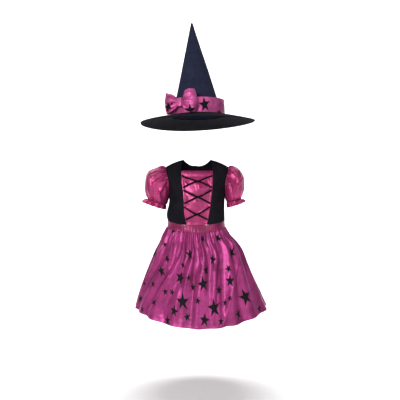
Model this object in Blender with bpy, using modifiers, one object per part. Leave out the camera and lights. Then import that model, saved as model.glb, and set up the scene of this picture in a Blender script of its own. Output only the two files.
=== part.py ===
"""A toddler's witch costume: a dress with a laced bodice, puff sleeves and a gathered skirt, and a pointed hat.

Sizes and tables are in millimetres and degrees, and MM turns them into Blender's metres. +Z is up, the
wearer faces -Y, and left and right are the wearer's. The origin lies midway between the shoulders, where
the worn dress hangs. Every cloth piece is one thin wall, filled out as it is worn, with nobody in it.
"""

import math

import bmesh
import bpy
import numpy as np
from mathutils import Matrix, Vector

MM = 0.001

# Cloth
SATIN_WALL = 1.5
VELOUR_WALL = 2.0
FELT_WALL = 2.0
SEAM_GAP = 0.3
SEAM_EDGE = 1.0  # width of the narrow strip beside a seam that keeps its edge square

# Bodice
SECTION_POWER = 2.3  # 2 is an ellipse, and more is squarer
SHOULDER_SLOPE = 0.2
SHOULDER_ROUNDING = 0.0037  # times the square of the distance out from the neck
NECK_HALF = 42.0
SLOPE_FROM_LEVEL = 0.55
WAIST_DIP = 9.0
UNDERARM_LEVEL = 0.35
BODICE_QUARTER = 110.0  # from a centre line round to the side seam
FRONT_WIDTH = 70.0
SCOOP_FROM_LEVEL = 0.5
BACK_NECK_SCOOP = 0.115  # how far the back neckline falls, in levels
BACK_NECK_POWER = 0.6  # 0.5 is an arc, and more is flatter
BACK_STRIPS = (14, 26, 35, 40, NECK_HALF)
LAP = 12.0  # how far the left back lies over the right back
INSERT_TUCK = 8.0  # hidden width of the insert under each bodice front
INSERT_DEPTH = VELOUR_WALL + 2 * SEAM_GAP
INSERT_TOP_LEVEL = 0.83
INSERT_COLUMNS = 8
LACE_WIDTH = 5.0
LACE_WALL = 1.2
LACE_CHEST_RADIUS = 60.0  # turns a lace's distance from the bodice edge into an angle
CROSSING_FROM = 0.24  # the share of a lace's length at which it rises over the one it crosses
CROSSING_TO = 0.63
CROSSING_SLOPE = 0.13
LEVEL_STEP = 0.004  # for the direction of a surface
LAST_LEVEL = 0.999  # above it the surface has no direction
ANGLE_STEP = 0.5
LACE_STEP = 0.02

# Waistband and skirt
BAND_HEIGHT = 22.0
BAND_GROWS_ACROSS = 0.01  # how much wider its lower edge is
BAND_GROWS_DEEP = 0.04
GATHERED_SEAM_GAP = 0.8
SKIRT_HALF_ROUND = 400.0
SKIRT_COLUMNS = 62
SKIRT_ROWS = 8
ROW_SPACING = 1.25  # 1 is even, and more puts the rows closer under the waistband
SKIRT_DROP = 250.0
FRONT_EXTRA_DROP = 25.5
BACK_EXTRA_DROP = 17.0
GATHER_HEIGHT = 2.8
GATHERS_GONE_AT = 0.45  # share of the drop
FOLD_HEIGHT = 6.5
FOLDS_FULL_AT = 0.3

# Sleeves
CUFF_WAVES = 13
ELASTIC_AT = 1.0
FRILL_END = 1.3
SLEEVE_RINGS = 10
PUFF_RINGS = 7
SLEEVE_SEAM_GAP = 2 * SEAM_GAP
SLEEVE_HEAD = 0.16  # how far along a sleeve takes its own shape
CALM_SIDE = 0.85  # how much flatter the waves are on the side that lies against the body
CALM_FROM = 0.1
CALM_OVER = 0.7
HEAD_GATHERS_REACH = 0.6  # how far round from the top they go
HEAD_GATHERS_END = 0.5  # how far along the gathers stay in the upper part

# Hat
HAT_CENTRE = (2.5, -6.0, 123.8)
HAT_TILT_BACK = 5.15
HAT_ROLL = -1.5
BRIM_RADIUS = 177.0
BRIM_HOLE_RADIUS = 79.0
BRIM_RISE = 21.5  # from the brim's outer edge up to the crown
BRIM_DROOP = 2.2  # the front and back edges hang below the sides
BRIM_TWIST = 2.2
BRIM_ROUNDING = 1.3
CROWN_RADIUS = 82.0
CROWN_FLARE = 4.5  # the foot is wider than the straight cone above it
FLARE_TO = 0.2
CROWN_HEIGHT = 290.0
CROWN_LEAN = 10.5  # how far the tip leans to the wearer's right
CROWN_RISE = 0.9  # clear of the brim at the foot of its sloping wall
TIP_RADIUS = 2.5
HATBAND_HEIGHT = 45.0
HATBAND_RADIUS = 84.5
BOW_ANGLE = -33.0
BOW_RADIAL = 91.1
BOW_HEIGHT = 53.0
BOW_PINCH = 10.0  # half the height of the gathered middle
PUFF_QUICKNESS = 4.0  # how soon a loop stands off past the knot
KNOT_WIDTH = 12.0
KNOT_HALF_OUT = 6.2
KNOT_HALF_HEIGHT = 13.2
KNOT_POWER = 5.0
LOOPS = {
    "bow_loop_left": {"side": 1, "length": 56, "half_height": 34, "puff": 1.3, "rise": 1, "bowed": 0.12},
    "bow_loop_right": {"side": -1, "length": 55, "half_height": 32, "puff": 1.0, "rise": 0, "bowed": 0.1},
}


def table(columns, *rows):
    """A table with named columns, as a dict of arrays."""
    return dict(zip(columns.split(), np.array(rows, float).T))


# Bodice sections, from the waist seam up to the shoulder seam
TORSO = table(
    "level height half_width front back centre",
    (0.00, -178, 89.5, 77, 62, -2.5),
    (0.08, -163, 90.5, 78, 63, -4.0),
    (0.16, -148, 89.5, 78, 63, -3.5),
    (0.24, -133, 87.5, 77.5, 63.5, -1.5),
    (0.34, -114, 86.5, 76, 64, 0),
    (0.52, -80, 90.0, 70, 64, 0),
    (0.66, -53, 97.0, 61, 58, 0),
    (0.80, -27, 107.0, 47, 46, 0),
    (0.90, -8, 115.0, 31, 31, 0),
    (0.955, 4.5, 118.5, 17.5, 17.5, 0),
    (0.988, 9.2, 120.0, 7, 7, 0),
    (0.998, 9.98, 120.0, 2, 2, 0),
    (1.00, 10, 120.0, 0, 0, 0),
)
# Where the armhole's edge crosses the bodice, by the turn round the armhole: 0 at the top, 180 underarm
ARMHOLE = table(
    "turn angle",
    (0, 52.4),
    (30, 52.5),
    (60, 56.0),
    (90, 62.0),
    (120, 72.0),
    (150, 82.4),
    (180, 90.0),
)
# The bodice fronts' inner edges, which lean to the wearer's left at the chest
FRONT_EDGE = table(
    "level across lean",
    (0.00, 31.5, -0.6),
    (0.16, 38.5, -0.5),
    (0.34, 42.5, 1.5),
    (0.52, 46.0, 2.0),
    (0.66, 48.5, 1.0),
    (0.80, 49.0, 0.0),
    (0.90, 48.0, -1.0),
    (1.00, 44.0, -1.0),
)
# Each X of the lacing: the heights of its upper and lower ends
LACING = table(
    "upper lower",
    (-37, -73),
    (-81, -122),
    (-132, -171),
)
# Skirt sections, from the waistband down to the hem
SKIRT = table(
    "fall half_width front back centre",
    (0.00, 90.5, 80, 65, -2.5),
    (0.08, 101.2, 89, 75, -2.3),
    (0.19, 118.0, 101, 88, 4.5),
    (0.29, 132.0, 110, 98, 6.5),
    (0.40, 144.2, 119, 108, 6.4),
    (0.61, 166.7, 133, 123, 7.0),
    (0.87, 194.0, 148, 139, 10.7),
    (1.00, 206.6, 156, 147, 13.8),
)
# The skirt's soft folds: where each ridge leaves the waistband, where it meets the hem, and how proud it is
FOLDS = table(
    "top_angle hem_angle height",
    (-172, -174, 0.9),
    (-150, -153, 1.0),
    (-130, -132, 0.8),
    (-108, -112, 1.0),
    (-86, -95, 0.8),
    (-62, -80, 0.9),
    (-40, -64, 0.7),
    (-20, -47, 1.2),
    (-6, -22, 0.8),
    (8, -3, 0.7),
    (24, 13, 0.9),
    (46, 29, 1.3),
    (66, 50, 0.8),
    (88, 73, 0.9),
    (110, 100, 1.0),
    (132, 126, 0.8),
    (152, 150, 1.0),
    (188, 186, 0.9),
)
# Sleeve sections, from the armhole to the elastic at 1 and on to the frill's edge. out and up place each
# ring's top and its underside in the front view, and half_depth is its size from front to back
SLEEVE_COLUMNS = "along top_out top_up under_out under_up half_depth wave"
LEFT_SLEEVE = table(
    SLEEVE_COLUMNS,
    (0.00, 98.0, -13.0, 88.0, -112.0, 31, 0.0),
    (0.12, 106.0, -9.5, 88.8, -114.5, 38, 1.4),
    (0.26, 124.0, -15.5, 89.8, -116.0, 44, 1.2),
    (0.42, 139.0, -31.0, 90.2, -117.0, 48, 0.5),
    (0.58, 147.5, -55.0, 90.5, -118.0, 48, 0.4),
    (0.74, 147.0, -80.0, 90.8, -119.0, 45, 0.9),
    (0.88, 141.0, -99.0, 91.2, -120.0, 39, 1.6),
    (1.00, 134.5, -111.5, 91.8, -120.6, 33, 2.0),
    (1.15, 142.5, -115.5, 92.4, -130.0, 35, 3.4),
    (1.30, 148.5, -121.0, 93.0, -139.5, 37, 4.6),
)
RIGHT_SLEEVE = table(
    SLEEVE_COLUMNS,
    (0.00, 98.0, -13.0, 88.0, -112.0, 31, 0.0),
    (0.12, 110.0, -10.0, 88.8, -115.0, 38, 1.4),
    (0.26, 129.0, -17.0, 89.8, -118.0, 45, 1.2),
    (0.42, 149.0, -25.0, 90.4, -120.5, 49, 0.5),
    (0.58, 160.0, -49.0, 91.0, -123.0, 50, 0.4),
    (0.74, 162.5, -78.0, 92.0, -126.0, 47, 0.9),
    (0.88, 158.5, -100.0, 93.5, -128.6, 40, 1.6),
    (1.00, 152.0, -112.0, 95.5, -130.0, 33, 2.0),
    (1.15, 161.0, -115.5, 95.8, -138.0, 35, 3.4),
    (1.30, 169.0, -121.5, 97.0, -145.5, 37, 4.6),
)

# A bow loop's strip, from the knot out along the front and back behind: how far along it reaches, how far
# it stands out from the bow's middle, and how much of its full height it has spread to
LOOP = table(
    "step reach out spread",
    (0, 0.00, 3.2, 0.00),
    (1, 0.14, 3.2, 0.03),
    (2, 0.34, 9.0, 0.45),
    (3, 0.58, 14.0, 0.80),
    (4, 0.83, 12.5, 0.96),
    (5, 0.97, 6.0, 1.00),
    (6, 1.00, -1.0, 1.00),
    (7, 0.95, -5.5, 1.00),
    (8, 0.70, -6.5, 0.88),
    (9, 0.38, -5.0, 0.45),
    (10, 0.14, -3.2, 0.03),
    (11, 0.00, -3.2, 0.00),
)

# Colour, roughness and metallic value of each cloth
FINISHES = {
    "pink_satin": ((0.46, 0.065, 0.22, 1), 0.36, 0.0),
    "star_satin": ((0.42, 0.055, 0.22, 1), 0.36, 0.0),
    "black_velour": ((0.012, 0.012, 0.016, 1), 0.9, 0.0),
    "black_lace": ((0.02, 0.012, 0.03, 1), 0.5, 0.0),
    "black_felt": ((0.026, 0.028, 0.05, 1), 0.8, 0.0),
}


def smooth(known, values, at):
    """The value at one place of a smooth curve through known values, with no overshoot between them."""
    steps = np.diff(known)
    slopes = np.diff(values) / steps
    tangents = np.concatenate(([slopes[0]], np.zeros(len(slopes) - 1), [slopes[-1]]))
    for i in range(1, len(slopes)):
        before, after = slopes[i - 1], slopes[i]
        if before * after > 0:
            tangents[i] = 2 * before * after / (before + after)
    i = int(np.clip(np.searchsorted(known, at) - 1, 0, len(steps) - 1))
    t = (at - known[i]) / steps[i]
    return (
        values[i] * (1 + 2 * t) * (1 - t) ** 2
        + values[i + 1] * t * t * (3 - 2 * t)
        + steps[i] * t * (1 - t) * (tangents[i] * (1 - t) - tangents[i + 1] * t)
    )


def row_at(rows, key, at):
    """Every column of a table at one place along its key column."""
    return {name: smooth(rows[key], values, at) for name, values in rows.items()}


def ease(t):
    """0 below 0, 1 above 1, and a smooth step between."""
    t = min(max(t, 0.0), 1.0)
    return t * t * (3 - 2 * t)


def oval(angle, half_width, front, back, power=SECTION_POWER):
    """A point of a rounded section: 0 degrees at the front (-Y), 90 at +X."""
    a = math.radians(angle)
    x, y = math.sin(a), -math.cos(a)
    depth = front if y < 0 else back
    return (
        half_width * math.copysign(abs(x) ** (2 / power), x),
        depth * math.copysign(abs(y) ** (2 / power), y),
    )


def angle_across(across, half_width):
    """The angle at which a section is this far from its centre line."""
    share = min(abs(across) / half_width, 1.0) ** (SECTION_POWER / 2)
    return math.copysign(math.degrees(math.asin(share)), across)


def torso(level, angle):
    """A point of the bodice's outside, from the waist seam at level 0 to the shoulder seam at level 1."""
    row = row_at(TORSO, "level", level)
    x, y = oval(angle, row["half_width"], row["front"], row["back"])
    sloped = ease((level - SLOPE_FROM_LEVEL) / (1 - SLOPE_FROM_LEVEL))
    past_neck = max(0.0, abs(x) - NECK_HALF)
    drop = (SHOULDER_SLOPE + SHOULDER_ROUNDING * past_neck) * past_neck * sloped
    dip = WAIST_DIP * ease(1 - 2 * level) * max(0.0, math.cos(math.radians(angle))) ** 2
    return Vector((row["centre"] + x, y, row["height"] - drop - dip))


def torso_out(level, angle, out):
    """A point of the bodice moved out along its surface's own direction."""
    low, high = max(level - LEVEL_STEP, 0.0), min(level + LEVEL_STEP, LAST_LEVEL)
    across = torso(level, angle + ANGLE_STEP) - torso(level, angle - ANGLE_STEP)
    along = torso(high, angle) - torso(low, angle)
    return torso(level, angle) + across.cross(along).normalized() * out


def level_at_height(height):
    """The level at which the centre front has this height."""
    heights = [torso(level, 0).z for level in TORSO["level"][:-1]]
    return smooth(heights, TORSO["level"][:-1], height)


def armhole(turn):
    """Level and angle of the armhole's edge at a turn round it: 0 at the top, 180 underarm."""
    level = UNDERARM_LEVEL + (1 - UNDERARM_LEVEL) * (1 + math.cos(math.radians(turn))) / 2
    return level, smooth(ARMHOLE["turn"], ARMHOLE["angle"], turn)


def stops(count, edge, lap=None):
    """Count + 1 places from 0 to 1 with a narrow first and last step, and one where a lap ends."""
    if lap is None:
        middle = np.linspace(0, 1, count - 1)[1:-1]
    else:
        middle = np.linspace(lap, 1, count - 2)[:-1]
    return [0.0, edge, *middle, 1 - edge, 1.0]


def material(name):
    """The cloth's plain material."""
    made = bpy.data.materials.get(name)
    if made is None:
        colour, roughness, metallic = FINISHES[name]
        made = bpy.data.materials.new(name)
        made.use_nodes = True
        shader = made.node_tree.nodes["Principled BSDF"]
        shader.inputs["Base Color"].default_value = colour
        shader.inputs["Roughness"].default_value = roughness
        shader.inputs["Metallic"].default_value = metallic
        made.diffuse_color = colour
    return made


def cloth(name, surface, across, along, wall, finish, closed=False, parent=None):
    """A cloth wall: a grid bent so that surface(u, v) gives each point of its outside, in millimetres.

    Seen from outside, u runs to the right and v up. The wall's thickness goes inwards.
    """
    mesh = bpy.data.meshes.new(name)
    bm = bmesh.new()
    bmesh.ops.create_grid(bm, x_segments=across, y_segments=along, size=0.5)
    for vertex in bm.verts:
        vertex.co = Vector(surface(vertex.co.x + 0.5, vertex.co.y + 0.5)) * MM
    if closed:
        bmesh.ops.remove_doubles(bm, verts=bm.verts, dist=1e-6)
    bm.to_mesh(mesh)
    bm.free()
    mesh.shade_smooth()
    obj = bpy.data.objects.new(name, mesh)
    bpy.data.collections["witch_costume"].objects.link(obj)
    obj.data.materials.append(material(finish))
    obj.parent = parent
    thickness = obj.modifiers.new("wall", "SOLIDIFY")
    thickness.thickness = wall * MM
    thickness.offset = -1
    return obj


def half_width_at(level):
    return smooth(TORSO["level"], TORSO["half_width"], level)


def bodice_rows():
    """Each row's level and outer angle: even rows to the underarm, then one for each turn of the armhole."""
    below = [(UNDERARM_LEVEL * i / 3, 90.0) for i in range(4)]
    return below + [armhole(turn) for turn in (160, 140, 120, 100, 80, 62, 48, 34, 20, 6, 0)]


def front_edge_angle(side, level):
    """The angle of a bodice front's inner edge. side is 1 on the wearer's left and -1 on the right."""
    edge = row_at(FRONT_EDGE, "level", level)
    centre = smooth(TORSO["level"], TORSO["centre"], level)
    return angle_across(edge["across"] + side * (edge["lean"] - centre), half_width_at(level))


def bodice_front(name, side):
    rows = bodice_rows()
    columns = stops(8, SEAM_EDGE / FRONT_WIDTH)

    def surface(u, v):
        level, outer = rows[round(v * (len(rows) - 1))]
        inner = front_edge_angle(side, level)
        share = columns[round((u if side > 0 else 1 - u) * (len(columns) - 1))]
        angle = side * (inner + (outer - inner) * share)
        return torso(level, angle) - Vector((0, SEAM_GAP / 2, 0))

    cloth(name, surface, len(columns) - 1, len(rows) - 1, VELOUR_WALL, "black_velour")


def bodice_back(name, side, strips):
    """A back whose upper edge dips in a scoop. strips are its inner columns' distances from the centre."""
    rows = bodice_rows()
    columns = stops(6, SEAM_EDGE / FRONT_WIDTH)[1:]

    def surface(u, v):
        level, outer = rows[round(v * (len(rows) - 1))]
        column = round((1 - u if side > 0 else u) * (len(strips) + len(columns) - 1))
        strip = strips[min(column, len(strips) - 1)]
        neck = min(abs(strip) / NECK_HALF, 1.0)
        top = 1 - BACK_NECK_SCOOP * (1 - neck**2) ** BACK_NECK_POWER
        level += (level - SCOOP_FROM_LEVEL) / (1 - SCOOP_FROM_LEVEL) * (top - 1) * (level > SCOOP_FROM_LEVEL)
        angle = angle_across(strip, half_width_at(level))
        if column >= len(strips):
            angle += (outer - angle) * columns[column - len(strips)]
        rise = VELOUR_WALL + SEAM_GAP if side > 0 and strip <= 0 else 0.0
        return torso_out(level, side * (180 - angle), rise) + Vector((0, SEAM_GAP / 2, 0))

    cloth(name, surface, len(strips) + len(columns) - 1, len(rows) - 1, VELOUR_WALL, "black_velour")


def make_bodice():
    bodice_front("bodice_front_left", 1)
    bodice_front("bodice_front_right", -1)
    bodice_back("bodice_back_left", 1, (-LAP, SEAM_EDGE - LAP, 0, *BACK_STRIPS))
    bodice_back("bodice_back_right", -1, (0, SEAM_EDGE, LAP, *BACK_STRIPS[1:]))


def make_insert():
    """The satin front between the two bodice fronts, tucked a little way under each."""
    levels = [level for level, _ in bodice_rows() if level <= INSERT_TOP_LEVEL]

    def surface(u, v):
        level = levels[round(v * (len(levels) - 1))]
        low, high = -front_edge_angle(-1, level), front_edge_angle(1, level)
        tuck = math.degrees(INSERT_TUCK / half_width_at(level))
        angles = [low - tuck, *np.linspace(low, high, INSERT_COLUMNS - 1), high + tuck]
        return torso_out(level, angles[round(u * INSERT_COLUMNS)], -INSERT_DEPTH)

    cloth("front_insert", surface, INSERT_COLUMNS, len(levels) - 1, SATIN_WALL, "pink_satin")


def lace_point(start, end, t):
    """A point of the insert's outside on the straight run between two (level, angle) places."""
    level = start[0] + (end[0] - start[0]) * t
    angle = start[1] + (end[1] - start[1]) * t
    return level, angle


def make_lace(name, start, end, over):
    """One flat lace from bodice edge to bodice edge. over lifts its middle above the lace it crosses."""
    lie = -INSERT_DEPTH + SEAM_GAP + LACE_WALL

    def surface(u, v):
        level, angle = lace_point(start, end, u)
        hump = (LACE_WALL + SEAM_GAP) * (
            ease((u - CROSSING_FROM) / CROSSING_SLOPE) - ease((u - CROSSING_TO) / CROSSING_SLOPE)
        )
        out = lie + (hump if over else 0.0)
        here = torso_out(level, angle, out)
        ahead = torso_out(*lace_point(start, end, u + LACE_STEP), out)
        back = torso_out(*lace_point(start, end, u - LACE_STEP), out)
        along = (ahead - back).normalized()
        outward = (here - torso(level, angle)).normalized() * (1 if out > 0 else -1)
        sideways = outward.cross(along).normalized()
        return here + sideways * LACE_WIDTH * (v - 0.5)

    cloth(name, surface, 16, 1, LACE_WALL, "black_lace")


def make_lacing():
    for number, (upper, lower) in enumerate(zip(LACING["upper"], LACING["lower"]), 1):
        high, low = level_at_height(upper), level_at_height(lower)
        clear = math.degrees((SEAM_GAP + LACE_WIDTH / 4) / LACE_CHEST_RADIUS)
        right, left = -front_edge_angle(-1, high) + clear, front_edge_angle(1, low) - clear
        make_lace(f"lace_{number}_over", (high, right), (low, left), True)
        right, left = -front_edge_angle(-1, low) + clear, front_edge_angle(1, high) - clear
        make_lace(f"lace_{number}_under", (low, right), (high, left), False)


def band_point(angle, share):
    """A point of the waistband's outside, from its top edge at share 0 to its lower edge at 1."""
    top = torso(0, angle)
    grow = Vector((1 + BAND_GROWS_ACROSS * share, 1 + BAND_GROWS_DEEP * share, 1))
    return top * grow - Vector((0, 0, SEAM_GAP + BAND_HEIGHT * share))


def band_out(angle, share, out):
    """A point of the waistband moved straight out from the body."""
    ahead, behind = band_point(angle + ANGLE_STEP, share), band_point(angle - ANGLE_STEP, share)
    outward = (ahead - behind).cross(Vector((0, 0, 1))).normalized()
    return band_point(angle, share) + outward * out


def make_waistband():
    lap = angle_across(LAP, TORSO["half_width"][0])
    edge = SEAM_EDGE / BODICE_QUARTER
    from_centre = stops(12, edge, lap / 90)
    to_centre = [1 - share for share in reversed(stops(12, edge, lap / (90 + lap)))]
    pieces = (
        ("waistband_front", -90, 90, -1, stops(20, edge / 2)),
        ("waistband_back_left", 90, 180 + lap, 1, to_centre),
        ("waistband_back_right", 180, 270, 1, from_centre),
    )
    for name, low, high, facing, columns in pieces:

        def surface(u, v, name=name, low=low, high=high, facing=facing, columns=columns):
            angle = low + (high - low) * columns[round(u * (len(columns) - 1))]
            rise = 0.0
            if name == "waistband_back_left":
                rise = (SATIN_WALL + SEAM_GAP) * ease((angle - 180 + 2 * lap) / lap)
            return band_out(angle, 1 - v, rise) + Vector((0, facing * SEAM_GAP / 2, 0))

        cloth(name, surface, len(columns) - 1, 2, SATIN_WALL, "pink_satin")


def skirt_point(angle, fall):
    """A point of the skirt's outside with its gathers and folds, fall 0 at the waistband and 1 at the hem."""
    row = row_at(SKIRT, "fall", fall)
    x, y = oval(angle, row["half_width"], row["front"], row["back"], 2.0)
    a = math.radians(angle)
    outward = Vector((math.sin(a) / row["half_width"], y / row["front"] / row["back"], 0)).normalized()
    ridges = FOLDS["top_angle"] + (FOLDS["hem_angle"] - FOLDS["top_angle"]) * ease(fall)
    round_once = angle if angle > ridges[0] else angle + 360
    round_once = round_once if round_once <= ridges[-1] else round_once - 360
    count = smooth(ridges, np.arange(len(ridges)), round_once)
    height = smooth(ridges, FOLDS["height"], round_once)
    folds = FOLD_HEIGHT * height * math.cos(2 * math.pi * count) * ease(fall / FOLDS_FULL_AT)
    gathers = GATHER_HEIGHT * math.cos(4 * math.pi * count) * (1 - ease(fall / GATHERS_GONE_AT))
    facing = math.cos(a) ** 2
    extra = (FRONT_EXTRA_DROP if math.cos(a) > 0 else BACK_EXTRA_DROP) * facing
    base = band_point(angle, 1)
    height = base.z - GATHERED_SEAM_GAP - (SKIRT_DROP + extra) * fall
    return Vector((row["centre"] + x, y, height)) + outward * (folds + gathers)


def make_skirt():
    columns = stops(SKIRT_COLUMNS, SEAM_EDGE / SKIRT_HALF_ROUND)
    for name, low, facing in (("skirt_front", -90, -1), ("skirt_back", 90, 1)):

        def surface(u, v, low=low, facing=facing):
            angle = low + 180 * columns[round(u * (len(columns) - 1))]
            return skirt_point(angle, (1 - v) ** ROW_SPACING) + Vector((0, facing * SEAM_GAP / 2, 0))

        cloth(name, surface, len(columns) - 1, SKIRT_ROWS, SATIN_WALL, "star_satin")


def armhole_point(turn, side):
    """A point of the armhole's edge, going round from the top by way of the front."""
    level, angle = armhole(turn if turn <= 180 else 360 - turn)
    return torso(level, side * (angle if turn <= 180 else 180 - angle))


def sleeve_point(rows, side, turn, along):
    """A point of a sleeve's outside, going round from its top by way of the front."""
    row = row_at(rows, "along", along)
    top = Vector((row["top_out"], 0, row["top_up"]))
    under = Vector((row["under_out"], 0, row["under_up"]))
    half = (top - under) / 2
    a = math.radians(turn)
    depth = row["half_depth"]
    point = (top + under) / 2 + half * math.cos(a) - Vector((0, depth * math.sin(a), 0))
    outward = half.normalized() * math.cos(a) / half.length - Vector((0, math.sin(a) / depth, 0))
    clear_of_body = 1 - CALM_SIDE * ease((-math.cos(a) - CALM_FROM) / CALM_OVER)
    head_only = 1.0 if along > HEAD_GATHERS_END else ease(math.cos(a) * 2 + HEAD_GATHERS_REACH)
    wave = row["wave"] * math.cos(math.radians(CUFF_WAVES * turn)) * clear_of_body * head_only
    point += outward.normalized() * wave
    edge = armhole_point(turn, 1) + Vector((SLEEVE_SEAM_GAP, 0, 0))
    point = edge.lerp(point, ease(along / SLEEVE_HEAD))
    return Vector((side * point.x, point.y, point.z))


def make_sleeves():
    columns = CUFF_WAVES * 4
    for name, rows, side in (("sleeve_left", LEFT_SLEEVE, 1), ("sleeve_right", RIGHT_SLEEVE, -1)):

        def surface(u, v, rows=rows, side=side):
            ring = round((1 - v) * SLEEVE_RINGS)
            past = max(ring - PUFF_RINGS, 0) / (SLEEVE_RINGS - PUFF_RINGS)
            along = ELASTIC_AT * min(ring / PUFF_RINGS, 1) + (FRILL_END - ELASTIC_AT) * past
            turn = 360 * u if side < 0 else 360 * (1 - u)
            return sleeve_point(rows, side, turn % 360, along)

        cloth(name, surface, columns, SLEEVE_RINGS, SATIN_WALL, "pink_satin", closed=True)


def crown_point(u, v):
    """A point of the hat's cone, from its edge at v 0 to its tip at 1. The front is at u 0."""
    angle = 2 * math.pi * u
    flare = CROWN_FLARE * (1 - ease(v / FLARE_TO))
    radius = TIP_RADIUS + (CROWN_RADIUS - CROWN_FLARE - TIP_RADIUS) * (1 - v) + flare
    radius = 0.0 if v > 0.999 else radius
    return Vector((
        radius * math.sin(angle) - CROWN_LEAN * v,
        -radius * math.cos(angle),
        BRIM_RISE + CROWN_RISE + (CROWN_HEIGHT - CROWN_RISE) * v,
    ))


def brim_point(u, v):
    """A point of the brim's top, from its outer edge at v 0 to its inner edge at 1."""
    angle = 2 * math.pi * u
    share = 1 - v
    radius = BRIM_HOLE_RADIUS + (BRIM_RADIUS - BRIM_HOLE_RADIUS) * share
    warp = BRIM_DROOP * math.cos(2 * angle) + BRIM_TWIST * math.sin(2 * angle)
    height = BRIM_RISE * (1 - share**BRIM_ROUNDING) - warp * ease(share)
    return Vector((radius * math.sin(angle), -radius * math.cos(angle), height))


def hatband_point(u, v):
    """A point of the hat's band, a straight tube that stands off the cone above."""
    angle = 2 * math.pi * u
    height = BRIM_RISE + SEAM_GAP + HATBAND_HEIGHT * v
    return Vector((HATBAND_RADIUS * math.sin(angle), -HATBAND_RADIUS * math.cos(angle), height))


def bow_frame():
    """Turns (along the band, out from it, up) at the bow into the hat's own frame."""
    a = math.radians(BOW_ANGLE)
    along, out = Vector((math.cos(a), math.sin(a), 0)), Vector((math.sin(a), -math.cos(a), 0))
    centre = out * BOW_RADIAL + Vector((0, 0, BOW_HEIGHT))
    return lambda t, r, z: centre + along * t + out * r + Vector((0, 0, z))


def loop_point(place, loop, u, v):
    """A point of one bow loop: u runs out along its front and back behind it, and v up across it."""
    row = row_at(LOOP, "step", u * LOOP["step"][-1])
    reach = row["reach"]
    half = BOW_PINCH + (loop["half_height"] - BOW_PINCH) * row["spread"]
    puff = 1 + (loop["puff"] - 1) * ease((reach - LOOP["reach"][1]) * PUFF_QUICKNESS)
    across = 2 * v - 1
    bowed = 1 - loop["bowed"] * reach * across**2
    along = SEAM_GAP / 2 + loop["length"] * reach * bowed
    return place(loop["side"] * along, row["out"] * puff, half * across + loop["rise"] * reach)


def knot_point(place, u, v):
    """A point of the bow's knot, a strip wrapped upright round the pinched loops."""
    out, up = oval(-360 * u, KNOT_HALF_OUT, KNOT_HALF_HEIGHT, KNOT_HALF_HEIGHT, KNOT_POWER)
    return place(KNOT_WIDTH * (v - 0.5), out, up)


def make_hat():
    """The hat, built upright about its own axis and tilted back as it is worn."""
    axis = bpy.data.objects.new("hat_axis", None)
    bpy.data.collections["witch_costume"].objects.link(axis)
    axis.location = Vector(HAT_CENTRE) * MM
    tilt = Matrix.Rotation(math.radians(-HAT_TILT_BACK), 4, "X")
    roll = Matrix.Rotation(math.radians(HAT_ROLL), 4, "Y")
    axis.rotation_euler = (roll @ tilt).to_euler()
    cloth("hat_crown", crown_point, 40, 6, FELT_WALL, "black_felt", closed=True, parent=axis)
    cloth("hat_brim", brim_point, 48, 5, FELT_WALL, "black_felt", closed=True, parent=axis)
    cloth("hat_band", hatband_point, 40, 1, SATIN_WALL, "star_satin", closed=True, parent=axis)
    place = bow_frame()
    for name, loop in LOOPS.items():

        def loop_surface(u, v, loop=loop):
            return loop_point(place, loop, u if loop["side"] > 0 else 1 - u, v)

        cloth(name, loop_surface, 18, 5, SATIN_WALL, "star_satin", parent=axis)

    def knot_surface(u, v):
        return knot_point(place, u, v)

    cloth("bow_knot", knot_surface, 16, 2, SATIN_WALL, "star_satin", closed=True, parent=axis)


def main():
    for old in list(bpy.data.objects):
        bpy.data.objects.remove(old)
    costume = bpy.data.collections.new("witch_costume")
    bpy.context.scene.collection.children.link(costume)
    make_bodice()
    make_insert()
    make_lacing()
    make_waistband()
    make_skirt()
    make_sleeves()
    make_hat()


main()
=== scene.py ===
"""The cloth of a toddler's witch costume: a laced dress with a gathered skirt, and a pointed hat.

Sizes and tables are in millimetres and degrees, and MM turns them into Blender's metres. +Z is up, the
wearer faces -Y, and left and right are the wearer's. Every piece of cloth is a fine grid of points, bent
as the worn cloth is, and given its thickness inwards. Its UV map holds its flat length in millimetres.
"""

import math

import bpy
import numpy as np
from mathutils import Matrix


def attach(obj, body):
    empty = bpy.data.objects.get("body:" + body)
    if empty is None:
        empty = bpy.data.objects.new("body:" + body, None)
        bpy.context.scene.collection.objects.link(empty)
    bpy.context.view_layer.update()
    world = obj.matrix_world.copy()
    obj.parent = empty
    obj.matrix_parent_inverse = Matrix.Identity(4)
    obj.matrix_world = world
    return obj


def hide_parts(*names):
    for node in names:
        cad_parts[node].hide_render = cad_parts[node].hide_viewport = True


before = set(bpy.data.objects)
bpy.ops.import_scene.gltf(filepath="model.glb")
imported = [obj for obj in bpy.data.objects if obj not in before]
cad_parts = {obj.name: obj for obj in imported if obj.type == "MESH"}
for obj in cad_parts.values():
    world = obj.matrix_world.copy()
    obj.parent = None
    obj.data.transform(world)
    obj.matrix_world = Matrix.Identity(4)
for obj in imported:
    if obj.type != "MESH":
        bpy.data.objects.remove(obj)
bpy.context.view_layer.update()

bl_info = {
    "name": "Witch costume",
    "version": (1, 0, 0),
    "blender": (4, 5, 0),
    "location": "3D View > Sidebar > Costume",
    "description": "Makes the cloth of a toddler's witch costume over its solid model",
    "category": "Add Mesh",
}

MM = 0.001

# Cloth
SEAM_GAP = 0.3
SATIN_WALL = 1.5
CLOSED_SEAM_GAP = 0.06  # the skirt's side seams, too narrow to let light through
VELOUR_WALL = 2.0
FELT_WALL = 2.0

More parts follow.
